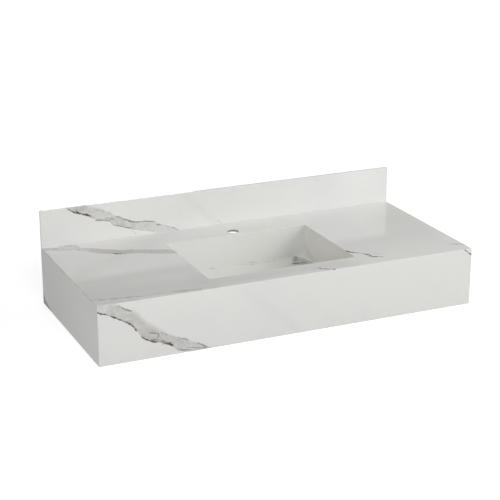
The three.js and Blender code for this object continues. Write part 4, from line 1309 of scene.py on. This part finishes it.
def floor():
    """A pale floor that looks white. It keeps the object's shadow, and is clear from below."""
    mesh = bpy.data.meshes.new("floor")
    corners = [(x * FLOOR_REACH, y * FLOOR_REACH, 0) for x, y in ((-1, -1), (1, -1), (1, 1), (-1, 1))]
    mesh.from_pydata(corners, [], [(0, 1, 2, 3)])
    material = bpy.data.materials.new("floor")
    material.use_nodes = True
    graph = Graph(material.node_tree)
    plain = graph.node("BsdfDiffuse", FLOOR_COLOUR)
    shadowed = graph.node("BsdfDiffuse", FLOOR_SHADOWED)
    away = graph.vector("LENGTH", graph.node("TexCoord").outputs["Object"])
    glow = graph.node("Emission", Strength=graph.map(away, NEAR, FAR, FLOOR_GLOW, 1.0))
    bright = graph.node("AddShader", shadowed, glow)
    lit = graph.node("MixShader", graph.seen(), plain, bright)
    below = graph.node("NewGeometry").outputs["Backfacing"]
    clear = graph.node("BsdfTransparent")
    graph.node("OutputMaterial", graph.node("MixShader", below, lit, clear))
    mesh.materials.append(material)
    placed("floor", mesh)


HORIZON_FADE = (0.24, 0.19)
CEILING_FADE = (0.45, 0.8)
CEILING_SEEN_FADE = (0.42, 0.8)
RIGHT_FADE = (0.46, 0.68)
HORIZON_LIGHT = 1.0
WALL_LIGHT = 0.02
CEILING_LIGHT = 0.12
CEILING_SEEN = 0.7
RIGHT_LIGHT = 0.40
RIGHT_DIRECTION = (0.97, 0.24, 0.0)


def world():
    """A studio round the floor: dim walls, a soft ceiling and a paler right side. What is seen of it
    is white low down and pale overhead."""
    scene = bpy.context.scene
    scene.world = bpy.data.worlds.new("studio")
    scene.world.use_nodes = True
    graph = Graph(scene.world.node_tree)
    direction = graph.node("TexCoord").outputs["Generated"]
    height = graph.split(direction)["z"]
    low = graph.map(height, *HORIZON_FADE, 0.0, HORIZON_LIGHT)
    high = graph.map(height, *CEILING_SEEN_FADE, 0.0, CEILING_SEEN)
    backdrop = graph.times(graph.most(low, high), graph.seen())
    ceiling = graph.map(height, *CEILING_FADE, 0.0, CEILING_LIGHT)
    facing = graph.vector("DOT_PRODUCT", direction, Vector(RIGHT_DIRECTION).normalized())
    right = graph.map(facing, *RIGHT_FADE, 0.0, RIGHT_LIGHT)
    level = graph.math("ADD", graph.most(backdrop, ceiling, right), WALL_LIGHT)
    graph.node("OutputWorld", graph.node("Background", Strength=level))


SOFTBOXES = {
    "right": {"place": (3.4, -0.8, 1.2), "side": 2.2, "watts": 75},
    "front": {"place": (-0.6, -1.7, 1.5), "side": 0.8, "watts": 18},
    "right_near": {"place": (1.3, -1.2, 1.2), "side": 0.7, "watts": 11},
    "right_front": {"place": (2.4, -2.2, 1.0), "side": 1.4, "watts": 7},
    "right_back": {"place": (1.6, 1.2, 1.8), "side": 1.0, "watts": 3},
    "top_left": {"place": (-1.4, -0.1, 2.0), "side": 1.0, "watts": 4.5},
    "left_near": {"place": (-1.75, -1.55, 0.95), "side": 1.5, "watts": 15},
    "back": {"place": (0.3, 2.4, 0.5), "side": 0.9, "watts": 17},
}
LIGHT_AIM = Vector((0, 0, 0.12))


def point_along(thing, direction):
    thing.rotation_euler = direction.to_track_quat("-Z", "Y").to_euler()


def softboxes():
    for name, box in SOFTBOXES.items():
        data = bpy.data.lights.new(name, "AREA")
        data.shape = "SQUARE"
        data.size = box["side"]
        data.energy = box["watts"]
        light = placed(name, data)
        light.location = box["place"]
        point_along(light, LIGHT_AIM - light.location)


def camera():
    data = bpy.data.cameras.new("camera")
    data.lens = CAMERA_LENS
    data.sensor_width = SENSOR_WIDTH
    made = placed("camera", data)
    made.location = CAMERA_PLACE
    level = math.cos(CAMERA_PITCH)
    aim = Vector((math.sin(CAMERA_YAW) * level, math.cos(CAMERA_YAW) * level, -math.sin(CAMERA_PITCH)))
    point_along(made, aim)
    bpy.context.scene.camera = made
    bpy.context.scene.view_settings.view_transform = "Standard"


camera()
floor()
world()
softboxes()
dress_slabs()
dress_supports()
waste()
bracket_screws()
resin_pieces()
